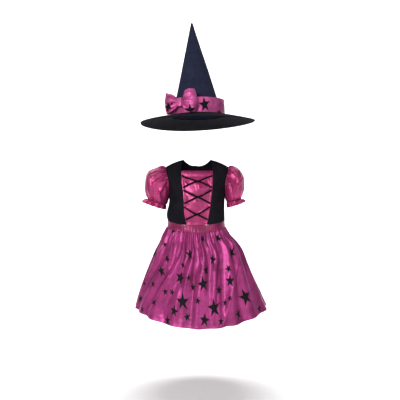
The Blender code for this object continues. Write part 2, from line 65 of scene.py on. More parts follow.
# Bodice
SECTION_POWER = 2.3  # 2 is an ellipse, and more is squarer
SHOULDER_SLOPE = 0.2
SHOULDER_ROUNDING = 0.0037  # times the square of the distance out from the neck
NECK_HALF = 42.0
SLOPE_FROM_LEVEL = 0.55
WAIST_DIP = 9.0
UNDERARM_LEVEL = 0.35
UNDERARM_ROW = 0.4  # the share of a bodice piece's rows that lie below the underarm
SCOOP_FROM_LEVEL = 0.5
BACK_NECK_SCOOP = 0.115
BACK_NECK_POWER = 0.6
LAP = 12.0
INSERT_TUCK = 8.0
INSERT_DEPTH = VELOUR_WALL + 2 * SEAM_GAP
INSERT_TOP_LEVEL = 0.83
LACE_WIDTH = 5.0
LACE_WALL = 1.2

# Waistband and skirt
BAND_HEIGHT = 22.0
GATHERED_SEAM_GAP = 0.8
SKIRT_DROP = 250.0
FRONT_EXTRA_DROP = 25.5
BACK_EXTRA_DROP = 17.0
GATHER_HEIGHT = 2.8
FOLD_HEIGHT = 6.5
HEM_DEPTH = 7.0
FULLNESS = 1.35  # flat width over worn width, taken up in gathers
SKIRT_GRID = (340, 110)
ROW_SPACING = 1.15  # more than 1 sets the rows closer together near the waist
FINE_GATHERS = 58  # in a full turn
FOLDS_FULL_AT = 0.3  # shares of the fall
GATHERS_GONE_AT = 0.45
HEM_CALM = 0.35  # how much lower the folds are at the hem
SKIRT_CREASING = 1.6  # times the height in the table of creases

# Sleeves
CUFF_WAVES = 13
FRILL_END = 1.3
SLEEVE_SEAM_GAP = 0.6
SLEEVE_GRID = (260, 100)
HEAD_PLEATS, HEAD_PLEAT_HEIGHT = 34, 1.5
ELASTIC_PLEATS, ELASTIC_PLEAT_HEIGHT = 38, 1.3
FRILL_PLEATS, FRILL_PLEAT_HEIGHT = 31, 1.4
ELASTIC_DEPTH = 2.0
SLEEVE_CREASING = 1.7

# Hat
HAT_CENTRE = (2.5, -6.0, 123.8)
HAT_TILT_BACK = 5.15
HAT_ROLL = -1.5
BRIM_RADIUS = 177.0
BRIM_HOLE_RADIUS = 79.0
BRIM_RISE = 21.5
BRIM_DROOP = 2.2
BRIM_TWIST = 2.2
BRIM_ROUNDING = 1.3
CROWN_RADIUS = 82.0
CROWN_FLARE = 4.5
CROWN_HEIGHT = 290.0
CROWN_LEAN = 10.5
CROWN_RISE = 0.9
TIP_RADIUS = 2.5
HATBAND_HEIGHT = 45.0
HATBAND_RADIUS = 84.5
BOW_ANGLE = -33.0
BOW_RADIAL = 91.1
BOW_HEIGHT = 53.0
BOW_PINCH = 10.0
KNOT_WIDTH = 12.0
KNOT_HALF_OUT = 6.2
KNOT_HALF_HEIGHT = 13.2
KNOT_POWER = 5.0
LOOPS = {
    "bow_loop_left": {"side": 1, "length": 56, "half_height": 34, "puff": 1.3, "rise": 1, "bowed": 0.12},
    "bow_loop_right": {"side": -1, "length": 55, "half_height": 32, "puff": 1.0, "rise": 0, "bowed": 0.1},
}

# Satin's gloss: the smooth threads give part of their light back in the dye's own colour
SATIN_METALLIC = 0.4
SATIN_ROUGHNESS = 0.38
SATIN_SPECULAR = 0.5
PRINTED_FINISH = (0.4, 0.25)  # the skirt's roughness and specular level, duller than plain satin's
TRIM_FINISH = (0.42, 0.2, 6.0)  # the hat trim's, and the height of its crumples
INK_ROUGHNESS = 0.8
CRUMPLE_HEIGHT = 2.6
CRUMPLE_PATCH = 22.0
TONE_PATCH = 45.0
TONE_DARKEST = 0.66
TONE_LIGHTEST = 1.22
BRUSHED_SHEEN_PATCH = 30.0
FELT_NAP = (2.0, 0.5, 0.9)  # the fibres' spacing and height, and the roughness
WAVE_PER_MM = math.pi / 10  # a wave texture's scale for one wave in a millimetre of flat cloth

# Camera and stage
CAMERA_PLACE = (9.4, -2100.0, 41.0)
CAMERA_AIM_HEIGHT = -116.0
CAMERA_LENS = 60.56
SENSOR_WIDTH = 36.0
FLOOR_HEIGHT = -700.0
FLOOR_SIZE = 9000.0
BACKDROP_HEIGHT = 7000.0
BACKDROP_BEND = 1600.0
BEND_STEPS = 16
ROOM_LIGHT = 0.22
LIGHTS = {  # place, aim, size, and power in watts
    "soft_key": ((-1000, -2300, 900), (0, 0, -100), 800, 44),
    "soft_fill": ((1500, -2200, 300), (0, 0, -100), 1200, 12),
    "backdrop_light": ((0, 1400, 2600), (0, 4200, -200), 2500, 260),
}


def table(columns, *rows):
    """A table with named columns, as a dict of arrays."""
    return dict(zip(columns.split(), np.array(rows, float).T))


# Bodice sections, from the waist seam up to the shoulder seam
TORSO = table(
    "level height half_width front back centre",
    (0.00, -178, 89.5, 77, 62, -2.5),
    (0.08, -163, 90.5, 78, 63, -4.0),
    (0.16, -148, 89.5, 78, 63, -3.5),
    (0.24, -133, 87.5, 77.5, 63.5, -1.5),
    (0.34, -114, 86.5, 76, 64, 0),
    (0.52, -80, 90.0, 70, 64, 0),
    (0.66, -53, 97.0, 61, 58, 0),
    (0.80, -27, 107.0, 47, 46, 0),
    (0.90, -8, 115.0, 31, 31, 0),
    (0.955, 4.5, 118.5, 17.5, 17.5, 0),
    (0.988, 9.2, 120.0, 7, 7, 0),
    (0.998, 9.98, 120.0, 2, 2, 0),
    (1.00, 10, 120.0, 0, 0, 0),
)
# Where the armhole's edge crosses the bodice, by the turn round it: 0 at the top, 180 underarm
ARMHOLE = table(
    "turn angle",
    (0, 52.4),
    (30, 52.5),
    (60, 56.0),
    (90, 62.0),
    (120, 72.0),
    (150, 82.4),
    (180, 90.0),
)
# The bodice fronts' inner edges, which lean to the wearer's left at the chest
FRONT_EDGE = table(
    "level across lean",
    (0.00, 31.5, -0.6),
    (0.16, 38.5, -0.5),
    (0.34, 42.5, 1.5),
    (0.52, 46.0, 2.0),
    (0.66, 48.5, 1.0),
    (0.80, 49.0, 0.0),
    (0.90, 48.0, -1.0),
    (1.00, 44.0, -1.0),
)
# Each X of the lacing: the heights of its upper and lower ends
LACING = table(
    "upper lower",
    (-37, -73),
    (-81, -122),
    (-132, -171),
)
# Skirt sections, from the waistband down to the hem
SKIRT = table(
    "fall half_width front back centre",
    (0.00, 90.5, 80, 65, -2.5),
    (0.08, 101.2, 89, 75, -2.3),
    (0.19, 118.0, 101, 88, 4.5),
    (0.29, 132.0, 110, 98, 6.5),
    (0.40, 144.2, 119, 108, 6.4),
    (0.61, 166.7, 133, 123, 7.0),
    (0.87, 194.0, 148, 139, 10.7),
    (1.00, 206.6, 156, 147, 13.8),
)
# The skirt's soft folds: where each ridge leaves the waistband, where it meets the hem, and how proud it is
FOLDS = table(
    "top_angle hem_angle height",
    (-172, -174, 0.9),
    (-150, -153, 1.0),
    (-130, -132, 0.8),
    (-108, -112, 1.0),
    (-86, -95, 0.8),
    (-62, -80, 0.9),
    (-40, -64, 0.7),
    (-20, -47, 1.2),
    (-6, -22, 0.8),
    (8, -3, 0.7),
    (24, 13, 0.9),
    (46, 29, 1.3),
    (66, 50, 0.8),
    (88, 73, 0.9),
    (110, 100, 1.0),
    (132, 126, 0.8),
    (152, 150, 1.0),
    (188, 186, 0.9),
)
# Sleeve sections, from the armhole to the elastic at 1 and on to the frill's edge. out and up place each
# ring's top and its underside in the front view, and half_depth is its size from front to back
SLEEVE_COLUMNS = "along top_out top_up under_out under_up half_depth wave"
LEFT_SLEEVE = table(
    SLEEVE_COLUMNS,
    (0.00, 98.0, -13.0, 88.0, -112.0, 31, 0.0),
    (0.12, 106.0, -9.5, 88.8, -114.5, 38, 1.4),
    (0.26, 124.0, -15.5, 89.8, -116.0, 44, 1.2),
    (0.42, 139.0, -31.0, 90.2, -117.0, 48, 0.5),
    (0.58, 147.5, -55.0, 90.5, -118.0, 48, 0.4),
    (0.74, 147.0, -80.0, 90.8, -119.0, 45, 0.9),
    (0.88, 141.0, -99.0, 91.2, -120.0, 39, 1.6),
    (1.00, 134.5, -111.5, 91.8, -120.6, 33, 2.0),
    (1.15, 142.5, -115.5, 92.4, -130.0, 35, 3.4),
    (1.30, 148.5, -121.0, 93.0, -139.5, 37, 4.6),
)
RIGHT_SLEEVE = table(
    SLEEVE_COLUMNS,
    (0.00, 98.0, -13.0, 88.0, -112.0, 31, 0.0),
    (0.12, 110.0, -10.0, 88.8, -115.0, 38, 1.4),
    (0.26, 129.0, -17.0, 89.8, -118.0, 45, 1.2),
    (0.42, 149.0, -25.0, 90.4, -120.5, 49, 0.5),
    (0.58, 160.0, -49.0, 91.0, -123.0, 50, 0.4),
    (0.74, 162.5, -78.0, 92.0, -126.0, 47, 0.9),
    (0.88, 158.5, -100.0, 93.5, -128.6, 40, 1.6),
    (1.00, 152.0, -112.0, 95.5, -130.0, 33, 2.0),
    (1.15, 161.0, -115.5, 95.8, -138.0, 35, 3.4),
    (1.30, 169.0, -121.5, 97.0, -145.5, 37, 4.6),
)
# A bow loop's strip, from the knot out along the front and back behind
LOOP = table(
    "step reach out spread",
    (0, 0.00, 3.2, 0.00),
    (1, 0.14, 3.2, 0.03),
    (2, 0.34, 9.0, 0.45),
    (3, 0.58, 14.0, 0.80),
    (4, 0.83, 12.5, 0.96),
    (5, 0.97, 6.0, 1.00),
    (6, 1.00, -1.0, 1.00),
    (7, 0.95, -5.5, 1.00),
    (8, 0.70, -6.5, 0.88),
    (9, 0.38, -5.0, 0.45),
    (10, 0.14, -3.2, 0.03),
    (11, 0.00, -3.2, 0.00),
)

# Creases are drawn on the front of a piece as it is seen from straight ahead: where each one starts and
# ends across and up, its width there, how far it stands out, and how much steeper its right-hand side is
SKIRT_CREASES = (
    (-27, -211, -34, -258, 1.6, 2.2, 3.4, 0.6),
    (-32, -253, -44, -313, 2.0, 4.0, 3.0, 0.6),
    (0, -216, 13, -293, 1.6, 3.5, 3.0, 0.6),
    (33, -248, 54, -312, 1.8, 3.5, 3.2, 0.5),
    (45, -209, 63, -293, 2.0, 5.0, 2.0, 0.8),
    (-106, -235, -135, -334, 4.0, 9.0, 3.0, 0.8),
    (-70, -227, -87, -336, 3.0, 7.0, 3.0, 0.8),
    (-86, -339, -141, -435, 2.0, 3.0, 4.5, 0.35),
    (-41, -318, -56, -473, 6.0, 10.0, -2.5, 1.0),
    (-8, -294, -15, -474, 5.0, 9.0, -2.5, 1.0),
    (126, -300, 78, -479, 6.0, 10.0, 4.0, 0.6),
    (67, -295, 57, -464, 4.0, 7.0, -3.5, 1.0),
    (98, -217, 119, -289, 2.2, 5.0, 2.4, 0.7),
    (143, -306, 181, -435, 5.0, 10.0, 2.5, 0.8),
    (24, -293, 27, -474, 6.0, 10.0, 2.0, 1.0),
    (-109, -423, -95, -473, 4.0, 7.0, -2.0, 1.0),
    (-54, -221, -62, -294, 1.6, 3.0, 2.0, 0.8),
)
SLEEVE_CREASES = {
    "sleeve_left": (
        (95, -39, 120, -79, 2.5, 3.5, 3.2, 0.6),
        (141, -39, 121, -79, 3.0, 3.5, 3.0, 1.6),
        (120, -79, 117, -113, 3.0, 3.0, 1.6, 1.0),
        (101, -57, 110, -106, 3.0, 3.0, -1.8, 1.0),
        (135, -70, 132, -119, 3.0, 3.0, 1.8, 1.0),
        (98, -91, 95, -131, 2.5, 2.5, 1.8, 1.0),
        (119, -45, 123, -64, 4.0, 4.0, -2.0, 1.0),
        (101, -18, 138, -27, 3.0, 5.0, 1.6, 1.0),
    ),
    "sleeve_right": (
        (-97, -24, -143, -45, 2.5, 5.0, 2.6, 1.6),
        (-94, -33, -137, -67, 2.5, 5.0, 2.8, 1.6),
        (-94, -48, -122, -103, 2.5, 5.0, 2.6, 1.4),
        (-143, -45, -141, -106, 3.0, 5.0, 2.0, 1.0),
        (-119, -82, -107, -125, 2.5, 4.0, 2.0, 1.0),
        (-98, -76, -95, -134, 2.5, 3.5, 1.8, 1.0),
        (-150, -57, -132, -122, 3.0, 3.0, -1.8, 1.0),
    ),
}
SKIRT_BACK_CREASES = (
    (-20, -215, -34, -320, 3.0, 7.0, 3.6, 0.7),
    (30, -215, 50, -330, 3.0, 7.0, 3.6, 0.7),
    (70, -215, 118, -340, 3.0, 9.0, 3.4, 0.7),
    (-66, -215, -108, -340, 3.0, 8.0, 3.4, 0.7),
    (4, -225, 6, -430, 3.0, 12.0, 3.0, 1.0),
    (-70, -330, -84, -470, 8.0, 14.0, 3.5, 0.8),
    (80, -330, 92, -470, 8.0, 14.0, 3.5, 0.8),
)
INSERT_CREASES = (
    (-45, -45, -6, -54, 2.0, 3.0, 1.0, 0.6),
    (46, -38, 15, -51, 2.0, 3.0, 1.0, 0.6),
    (-39, -81, -3, -99, 2.0, 3.0, 1.2, 0.7),
    (43, -75, 19, -99, 2.0, 3.0, 1.2, 0.7),
    (-33, -99, -27, -121, 2.0, 2.5, 1.2, 1.0),
    (37, -130, 9, -148, 2.0, 3.0, 1.0, 0.7),
    (-30, -136, -3, -148, 2.0, 3.0, 1.0, 0.7),
    (3, -60, 9, -81, 6.0, 7.0, 1.4, 1.0),
    (-3, -114, 9, -139, 6.0, 7.0, 1.2, 1.0),
    (31, -51, 37, -63, 3.0, 3.0, -1.2, 1.0),
    (-33, -51, -24, -63, 3.0, 3.0, -1.2, 1.0),
)

# The print's repeat: each star's place on the flat cloth, its radius, and its turn
PRINT_WIDTH = 800.0
PRINT_HEIGHT = 290.0
STAR_POINTS = 5
STAR_BLUR = 0.3  # how far the ink runs at a star's edge
STAR_NOTCH = 0.4  # how far in a star's notches reach, as a share of its radius
STARS = (
    (-74, -210, 27.9, 4),
    (225, -222, 29.1, 6),
    (-200, -131, 19.9, 12),
    (-96, -142, 22.2, -14),
    (17, -157, 24.5, 8),
    (145, -159, 21, -10),
    (59, -229, 29.1, 3),
    (16, -263, 21.6, -12),
    (167, -264, 18.8, 14),
    (361, -169, 21, -8),
    (203, -79, 21, 24),
    (131, -24, 18.2, -30),
    (72, -88, 19.9, -16),
    (-44, -68, 21, 10),
    (-330, -181, 19.9, 20),
    (-111, -242, 19.3, -10),
    (-144, -273, 17.6, 8),
    (34, -116, 16.4, 6),
    (147, -122, 14.7, 10),
    (332, -126, 14.1, -12),
    (42, -19, 14.7, 30),
    (-169, -91, 15.3, -18),
    (-81, -101, 12.4, 14),
    (-207, -234, 14.1, 16),
    (-57, -254, 14.1, 6),
    (-31, -165, 14.1, 4),
    (-7, -205, 13, -12),
    (91, -181, 16.4, -8),
    (294, -273, 14.1, 10),
    (82, -272, 13, -14),
    (-206, -51, 10.7, 12),
    (-149, -3, 11.8, -20),
    (-287, -260, 10.7, 8),
    (-154, -192, 12.4, 10),
    (-126, -188, 11.8, -14),
    (-246, -176, 11.8, 12),
    (-52, -138, 11.3, 10),
    (136, -211, 11.8, 16),
    (112, -220, 11.8, -8),
    (289, -70, 15.3, 10),
    (-305, -90, 16.5, -12),
    (-270, -30, 11.9, 20),
    (265, -20, 13, -8),
    (-332, -236, 13, 14),
    (370, -120, 16, 9),
    (-375, -40, 15, -15),
)
# Where the print's middle lies on the pieces that don't show it at theirs
HATBAND_PRINT_AT = (-13, -179)
LOOP_PRINT_AT = {"bow_loop_left": (-29, -70), "bow_loop_right": (-224, -152)}
KNOT_PRINT_AT = (30, 0)

# The skirt's two pieces: the angle each starts at, the way it faces, and where its print's middle lies
SKIRTS = (("skirt_front", -90, -1, (0, 0)), ("skirt_back", 90, 1, (400, 0)))

# Each piece's wall, material slot, flat width and length, flat area where it isn't a rectangle, and how it
# is held. The laces have only a wall and a slot.
PIECES = {
    "bodice_front_left": (VELOUR_WALL, "black_velour", (85, 215, 13200), "hung"),
    "bodice_front_right": (VELOUR_WALL, "black_velour", (85, 215, 13200), "hung"),
    "bodice_back_left": (VELOUR_WALL, "black_velour", (130, 195, 20500), "hung"),
    "bodice_back_right": (VELOUR_WALL, "black_velour", (118, 195, 18500), "hung"),
    "front_insert": (SATIN_WALL, "pink_satin", (115, 170, 16500), "stretched"),
    "waistband_front": (SATIN_WALL, "pink_satin", (275, 22), "stretched"),
    "waistband_back_left": (SATIN_WALL, "pink_satin", (145, 22), "stretched"),
    "waistband_back_right": (SATIN_WALL, "pink_satin", (132, 22), "stretched"),
    "skirt_front": (SATIN_WALL, "star_satin", (620, 280, 128000), "gathered"),
    "skirt_back": (SATIN_WALL, "star_satin", (620, 280, 128000), "gathered"),
    "sleeve_left": (SATIN_WALL, "pink_satin", (300, 160, 32000), "gathered"),
    "sleeve_right": (SATIN_WALL, "pink_satin", (300, 160, 32000), "gathered"),
    "hat_crown": (FELT_WALL, "black_felt", (455, 302, 77000), "stretched"),
    "hat_brim": (FELT_WALL, "black_felt", (358, 358, 82000), "stretched"),
    "hat_band": (SATIN_WALL, "star_satin", (531, 45), "stretched"),
    "bow_loop_left": (SATIN_WALL, "star_satin", (125, 68), "folded"),
    "bow_loop_right": (SATIN_WALL, "star_satin", (125, 64), "folded"),
    "bow_knot": (SATIN_WALL, "star_satin", (12, 72), "folded"),
}
LACE_PIECE = (LACE_WALL - 0.2, "black_lace", None, None)


def smooth(known, values, at):
    """The value at each place of a smooth curve through known values, with no overshoot between them."""
    known, values, at = (np.asarray(x, float) for x in (known, values, at))
    steps = np.diff(known)
    slopes = np.diff(values) / steps
    before, after = slopes[:-1], slopes[1:]
    same_way = before * after > 0
    middle = np.zeros(len(before))
    middle[same_way] = (2 * before * after)[same_way] / (before + after)[same_way]
    tangents = np.concatenate(([slopes[0]], middle, [slopes[-1]]))
    i = np.clip(np.searchsorted(known, at) - 1, 0, len(steps) - 1)
    t = (at - known[i]) / steps[i]
    return (
        values[i] * (1 + 2 * t) * (1 - t) ** 2
        + values[i + 1] * t * t * (3 - 2 * t)
        + steps[i] * t * (1 - t) * (tangents[i] * (1 - t) - tangents[i + 1] * t)
    )


def row_at(rows, key, at):
    """Every column of a table at the places given along its key column."""
    return {name: smooth(rows[key], values, at) for name, values in rows.items()}


def ease(t):
    """0 below 0, 1 above 1, and a smooth step between."""
    t = np.clip(t, 0.0, 1.0)
    return t * t * (3 - 2 * t)


def unit(vectors):
    return vectors / np.maximum(np.linalg.norm(vectors, axis=-1, keepdims=True), 1e-9)


def point(x, y, z):
    return np.stack(np.broadcast_arrays(x, y, z), -1).astype(float)


def oval(angle, half_width, front, back, power=SECTION_POWER):
    """Points of a rounded section: 0 degrees at the front (-Y), 90 at +X."""
    a = np.radians(angle)
    x, y = np.sin(a), -np.cos(a)
    depth = np.where(y < 0, front, back)
    return (
        half_width * np.sign(x) * abs(x) ** (2 / power),
        depth * np.sign(y) * abs(y) ** (2 / power),
    )


def angle_across(across, half_width):
    """The angle at which a section is this far from its centre line."""
    share = np.minimum(abs(across) / half_width, 1.0) ** (SECTION_POWER / 2)
    return np.sign(across) * np.degrees(np.arcsin(share))


def half_width_at(level):
    return smooth(TORSO["level"], TORSO["half_width"], level)


def torso(level, angle):
    """Points of the bodice's outside, from the waist seam at level 0 to the shoulder seam at level 1."""
    row = row_at(TORSO, "level", level)
    x, y = oval(angle, row["half_width"], row["front"], row["back"])
    sloped = ease((level - SLOPE_FROM_LEVEL) / (1 - SLOPE_FROM_LEVEL))
    past_neck = np.maximum(0.0, abs(x) - NECK_HALF)
    drop = (SHOULDER_SLOPE + SHOULDER_ROUNDING * past_neck) * past_neck * sloped
    dip = WAIST_DIP * ease(1 - 2 * level) * np.maximum(0.0, np.cos(np.radians(angle))) ** 2
    return point(row["centre"] + x, y, row["height"] - drop - dip)


def torso_out(level, angle, out):
    """Points of the bodice moved out along its surface's own direction."""
    low, high = np.clip(level - 0.004, 0, 1), np.clip(level + 0.004, 0, 0.999)
    across = torso(level, angle + 0.5) - torso(level, angle - 0.5)
    along = torso(high, angle) - torso(low, angle)
    return torso(level, angle) + unit(np.cross(across, along)) * np.expand_dims(out, -1)


def level_at_height(height):
    """The level at which the centre front has this height."""
    levels = TORSO["level"][:-1]
    return smooth(torso(levels, np.zeros(len(levels)))[:, 2], levels, height)


def armhole(turn):
    """Level and angle of the armhole's edge at a turn round it: 0 at the top, 180 underarm."""
    level = UNDERARM_LEVEL + (1 - UNDERARM_LEVEL) * (1 + np.cos(np.radians(turn))) / 2
    return level, smooth(ARMHOLE["turn"], ARMHOLE["angle"], turn)


def ripples(a, b, seed, waves=5):
    """Gentle unevenness from -1 to 1 over two coordinates: a few sine waves that run different ways."""
    random = np.random.default_rng(seed)
    total = 0.0
    for _ in range(waves):
        along_a, along_b = random.uniform(-1.5, 1.5, 2)
        total = total + np.sin(along_a * a + along_b * b + random.uniform(0, 2 * math.pi))
    return total / waves


def pleats(angle, count, seed):
    """Uneven small pleats from -1 to 1, about count of them in a full turn."""
    random = np.random.default_rng(seed)
    a = np.radians(angle)
    warp = sum(random.uniform(0.1, 0.3) * np.sin(a * k + random.uniform(0, 6)) for k in (3, 5, 7, 11))
    return np.cos(np.radians(angle) * count + warp * 4)


def creased(points, creases, facing=-1):
    """How far the creases drawn over a piece lift its points. facing is -1 for the front, 1 for the back."""
    x, y, z = np.moveaxis(points, -1, 0)
    lift = np.zeros(x.shape)
    for x0, z0, x1, z1, start_width, end_width, height, steeper in creases:
        run = math.hypot(x1 - x0, z1 - z0)
        across, up = (x1 - x0) / run, (z1 - z0) / run
        t = ((x - x0) * across + (z - z0) * up) / run
        side = (x - x0) * up - (z - z0) * across
        width = start_width + (end_width - start_width) * np.clip(t, 0, 1)
        width = width * np.where(side < 0, steeper, 1.0)
        lift += height * np.exp(-((side / width) ** 2)) * ease((t + 0.2) / 0.4) * ease((1.2 - t) / 0.4)
    return lift * ease(facing * y / 20)


def outwards(points, closed):
    """The outward direction at each point of a grid."""
    if closed:
        wrapped = np.concatenate((points[:, -2:-1], points, points[:, 1:2]), axis=1)
        across = (wrapped[:, 2:] - wrapped[:, :-2]) / 2
    else:
        across = np.gradient(points, axis=1)
    return unit(np.cross(across, np.gradient(points, axis=0)))


def linear(hex_colour):
    """An sRGB hex colour as linear red, green, blue and alpha."""
    channels = [int(hex_colour[i : i + 2], 16) / 255 for i in (1, 3, 5)]
    return (*[c / 12.92 if c <= 0.04045 else ((c + 0.055) / 1.055) ** 2.4 for c in channels], 1.0)


def add(tree, kind, settings=None, values=None, links=None):
    """Adds a node with its settings, its sockets' values and its links in."""
    node = tree.nodes.new(kind)
    for name, value in (settings or {}).items():
        setattr(node, name, value)
    for socket, value in (values or {}).items():
        node.inputs[socket].default_value = value
    for socket, source in (links or {}).items():
        tree.links.new(source, node.inputs[socket])
    return node


def maths(tree, operation, values=None, links=None):
    """What a math node with this operation gives."""
    return add(tree, "ShaderNodeMath", {"operation": operation}, values, links).outputs[0]


def noise(tree, place, size, detail, roughness):
    """Noise whose patches are about this many millimetres wide."""
    values = {"Scale": 1 / (size * MM), "Detail": detail, "Roughness": roughness}
    return add(tree, "ShaderNodeTexNoise", values=values, links={0: place}).outputs[0]


def bump(tree, strength, distance, links):
    """A normal tilted by a height. distance is in millimetres."""
    values = {"Strength": strength, "Distance": distance * MM}
    return add(tree, "ShaderNodeBump", values=values, links=links).outputs[0]


def new_material(name):
    """A material that holds only its output node."""
    made = bpy.data.materials.new(name)
    made.use_nodes = True
    tree = made.node_tree
    tree.nodes.clear()
    return made, tree, tree.nodes.new("ShaderNodeOutputMaterial")


def flat_cloth(tree):
    """The place on the flat cloth, in millimetres."""
    return add(tree, "ShaderNodeUVMap", {"uv_map": "flat_mm"}).outputs[0]


def star_print(tree):
    """How much of the print's black lies at each place: 1 inside a star, 0 outside."""
    place = flat_cloth(tree)
    notch = math.radians(180 / STAR_POINTS)
    lean = math.atan2(1 - STAR_NOTCH * math.cos(notch), STAR_NOTCH * math.sin(notch))
    edge = STAR_NOTCH * math.sin(notch) / math.hypot(
        1 - STAR_NOTCH * math.cos(notch), STAR_NOTCH * math.sin(notch)
    )
    repeat = {1: (PRINT_WIDTH / 2, PRINT_HEIGHT / 2, 1), 2: (-PRINT_WIDTH / 2, -PRINT_HEIGHT / 2, -1)}
    nearest = None
    for across, up, radius, turn in STARS:
        moved = add(tree, "ShaderNodeVectorMath", {"operation": "SUBTRACT"}, {1: (across, up, 0)}, {0: place})
        around = add(
            tree, "ShaderNodeVectorMath", {"operation": "WRAP"}, repeat, {0: moved.outputs[0]}
        ).outputs[0]
        away = add(tree, "ShaderNodeVectorMath", {"operation": "LENGTH"}, links={0: around}).outputs["Value"]
        parts = add(tree, "ShaderNodeSeparateXYZ", links={0: around})
        angle = maths(tree, "ARCTAN2", links={0: parts.outputs[0], 1: parts.outputs[1]})
        turned = {1: STAR_POINTS / (2 * math.pi), 2: turn / (360 / STAR_POINTS)}
        folded = maths(tree, "PINGPONG", {1: 0.5}, {0: maths(tree, "MULTIPLY_ADD", turned, {0: angle})})
        leaned = maths(tree, "MULTIPLY_ADD", {1: 2 * notch, 2: -lean}, {0: folded})
        cosine = maths(tree, "COSINE", links={0: leaned})
        outside = maths(tree, "MULTIPLY_ADD", {2: -edge * radius}, {0: away, 1: cosine})
        if nearest is None:
            nearest = outside
        else:
            nearest = maths(tree, "MINIMUM", links={0: nearest, 1: outside})
    blurred = {1: STAR_BLUR, 2: -STAR_BLUR, 3: 0.0, 4: 1.0}
    return add(tree, "ShaderNodeMapRange", values=blurred, links={0: nearest}).outputs[0]


def satin(
    name, dye, stars=None, roughness=SATIN_ROUGHNESS, specular=SATIN_SPECULAR, crumple=CRUMPLE_HEIGHT
):
    """Polyester satin, woven with long smooth threads on its face.

    The threads give broad bright highlights along the folds, and the dye looks deeper away from them.
    """
    made, tree, output = new_material(name)
    place = add(tree, "ShaderNodeTexCoord").outputs["Object"]
    # The colour is darker and lighter in random patches about 45 mm wide
    cloudy = noise(tree, place, TONE_PATCH, 3.0, 0.6)
    spread = {1: 0.32, 2: 0.68, 3: TONE_DARKEST, 4: TONE_LIGHTEST}
    tone = add(tree, "ShaderNodeMapRange", values=spread, links={0: cloudy})
    surface_colour = add(
        tree,
        "ShaderNodeHueSaturation",
        values={"Color": dye},
        links={"Value": tone.outputs[0]},
    ).outputs[0]
    finish = {}
    if stars is not None:
        printed = star_print(tree)
        surface_colour = add(
            tree, "ShaderNodeMix", {"data_type": "RGBA"}, {"B": stars}, {"Factor": printed, "A": surface_colour}
        ).outputs["Result"]
        # The ink dulls the threads
        finishes = (("Roughness", roughness, INK_ROUGHNESS), ("Metallic", SATIN_METALLIC, 0.0))
        for socket, bare, inked in finishes:
            finish[socket] = add(
                tree, "ShaderNodeMapRange", values={3: bare, 4: inked}, links={0: printed}
            ).outputs[0]
    # The threads are 0.1 mm and far too fine to show, so they are drawn 1 mm apart
    threads = add(
        tree,
        "ShaderNodeTexWave",
        {"wave_type": "BANDS", "bands_direction": "Y"},
        {"Scale": WAVE_PER_MM, "Distortion": 1.5, "Detail": 2.0, "Detail Scale": 1.0},
        {0: flat_cloth(tree)},
    )
    uneven = bump(tree, 0.8, crumple, {"Height": noise(tree, place, CRUMPLE_PATCH, 3.0, 0.5)})
    woven = bump(tree, 0.12, 0.1, {"Height": threads.outputs[0], "Normal": uneven})
    shader = add(
        tree,
        "ShaderNodeBsdfPrincipled",
        values={
            "Metallic": SATIN_METALLIC,
            "Roughness": roughness,
            "IOR": 1.5,
            "Specular IOR Level": specular,
            "Sheen Weight": 0.0,
            "Sheen Roughness": 0.4,
            "Sheen Tint": linear("#f0a8d0"),
        },
        links={"Base Color": surface_colour, "Normal": woven, **finish},
    )
    tree.links.new(shader.outputs[0], output.inputs[0])
    return made


def pile_cloth(name, dye, lit, grain, height, roughness=1.0):
    """A matt cloth with a nap: soft fibres that scatter light, and catch it at a glancing angle."""
    made, tree, output = new_material(name)
    place = add(tree, "ShaderNodeTexCoord").outputs["Object"]
    # Random patches take the lighter lit colour: painted sheen where the brushed pile or the fibres catch the
    # light
    brushed = noise(tree, place, BRUSHED_SHEEN_PATCH, 4.0, 0.65)
    shade = add(tree, "ShaderNodeMapRange", values={1: 0.35, 2: 0.65, 3: 0.0, 4: 1.0}, links={0: brushed})
    surface_colour = add(
        tree,
        "ShaderNodeMix",
        {"data_type": "RGBA"},
        {"A": dye, "B": lit},
        {"Factor": shade.outputs[0]},
    )
    napped = bump(tree, 0.6, height, {"Height": noise(tree, place, grain, 3.0, 0.7)})
    shader = add(
        tree,
        "ShaderNodeBsdfPrincipled",
        values={
            "Roughness": roughness,
            "IOR": 1.5,
            "Specular IOR Level": 0.03,
            "Sheen Weight": 0.01,
            "Sheen Roughness": 0.5,
            "Sheen Tint": linear("#a0a4c0"),
        },
        links={"Base Color": surface_colour.outputs["Result"], "Normal": napped},
    )
    tree.links.new(shader.outputs[0], output.inputs[0])
    return made


def braid(name, dye):
    """A flat plaited polyester lace. Its ribs run across it, and it has a dull gloss."""
    made, tree, output = new_material(name)
    ribs = add(
        tree,
        "ShaderNodeTexWave",
        {"wave_type": "BANDS", "bands_direction": "X"},
        {"Scale": WAVE_PER_MM, "Distortion": 0.5},
        {0: flat_cloth(tree)},
    )
    plaited = bump(tree, 0.5, 0.3, {"Height": ribs.outputs[0]})
    shader = add(
        tree,
        "ShaderNodeBsdfPrincipled",
        values={"Base Color": dye, "Roughness": 0.8, "IOR": 1.5, "Specular IOR Level": 0.1},
        links={"Normal": plaited},
    )
    tree.links.new(shader.outputs[0], output.inputs[0])
    return made


def pick(name, make, *given):
    """The material of this name, made the first time it is asked for."""
    return bpy.data.materials.get(name) or make(name, *given)


def satin_of(colours, printed):
    if printed:
        return pick("printed_polyester_satin", satin, colours.printed_satin, colours.stars, *PRINTED_FINISH)
    return pick("polyester_satin", satin, colours.satin)


def trim_of(colours):
    """The printed satin of the hat's trim, which is crumpled and catches more light."""
    # The trim's ground is its own pink made lighter with painted highlight, standing in for its broad sheen
    return pick("crumpled_polyester_satin", satin, colours.trim_satin_and_sheen, colours.stars, *TRIM_FINISH)


def velour_of(colours):
    return pick("cotton_velour", pile_cloth, colours.velour, colours.velour_lit, 1.5, 0.6)


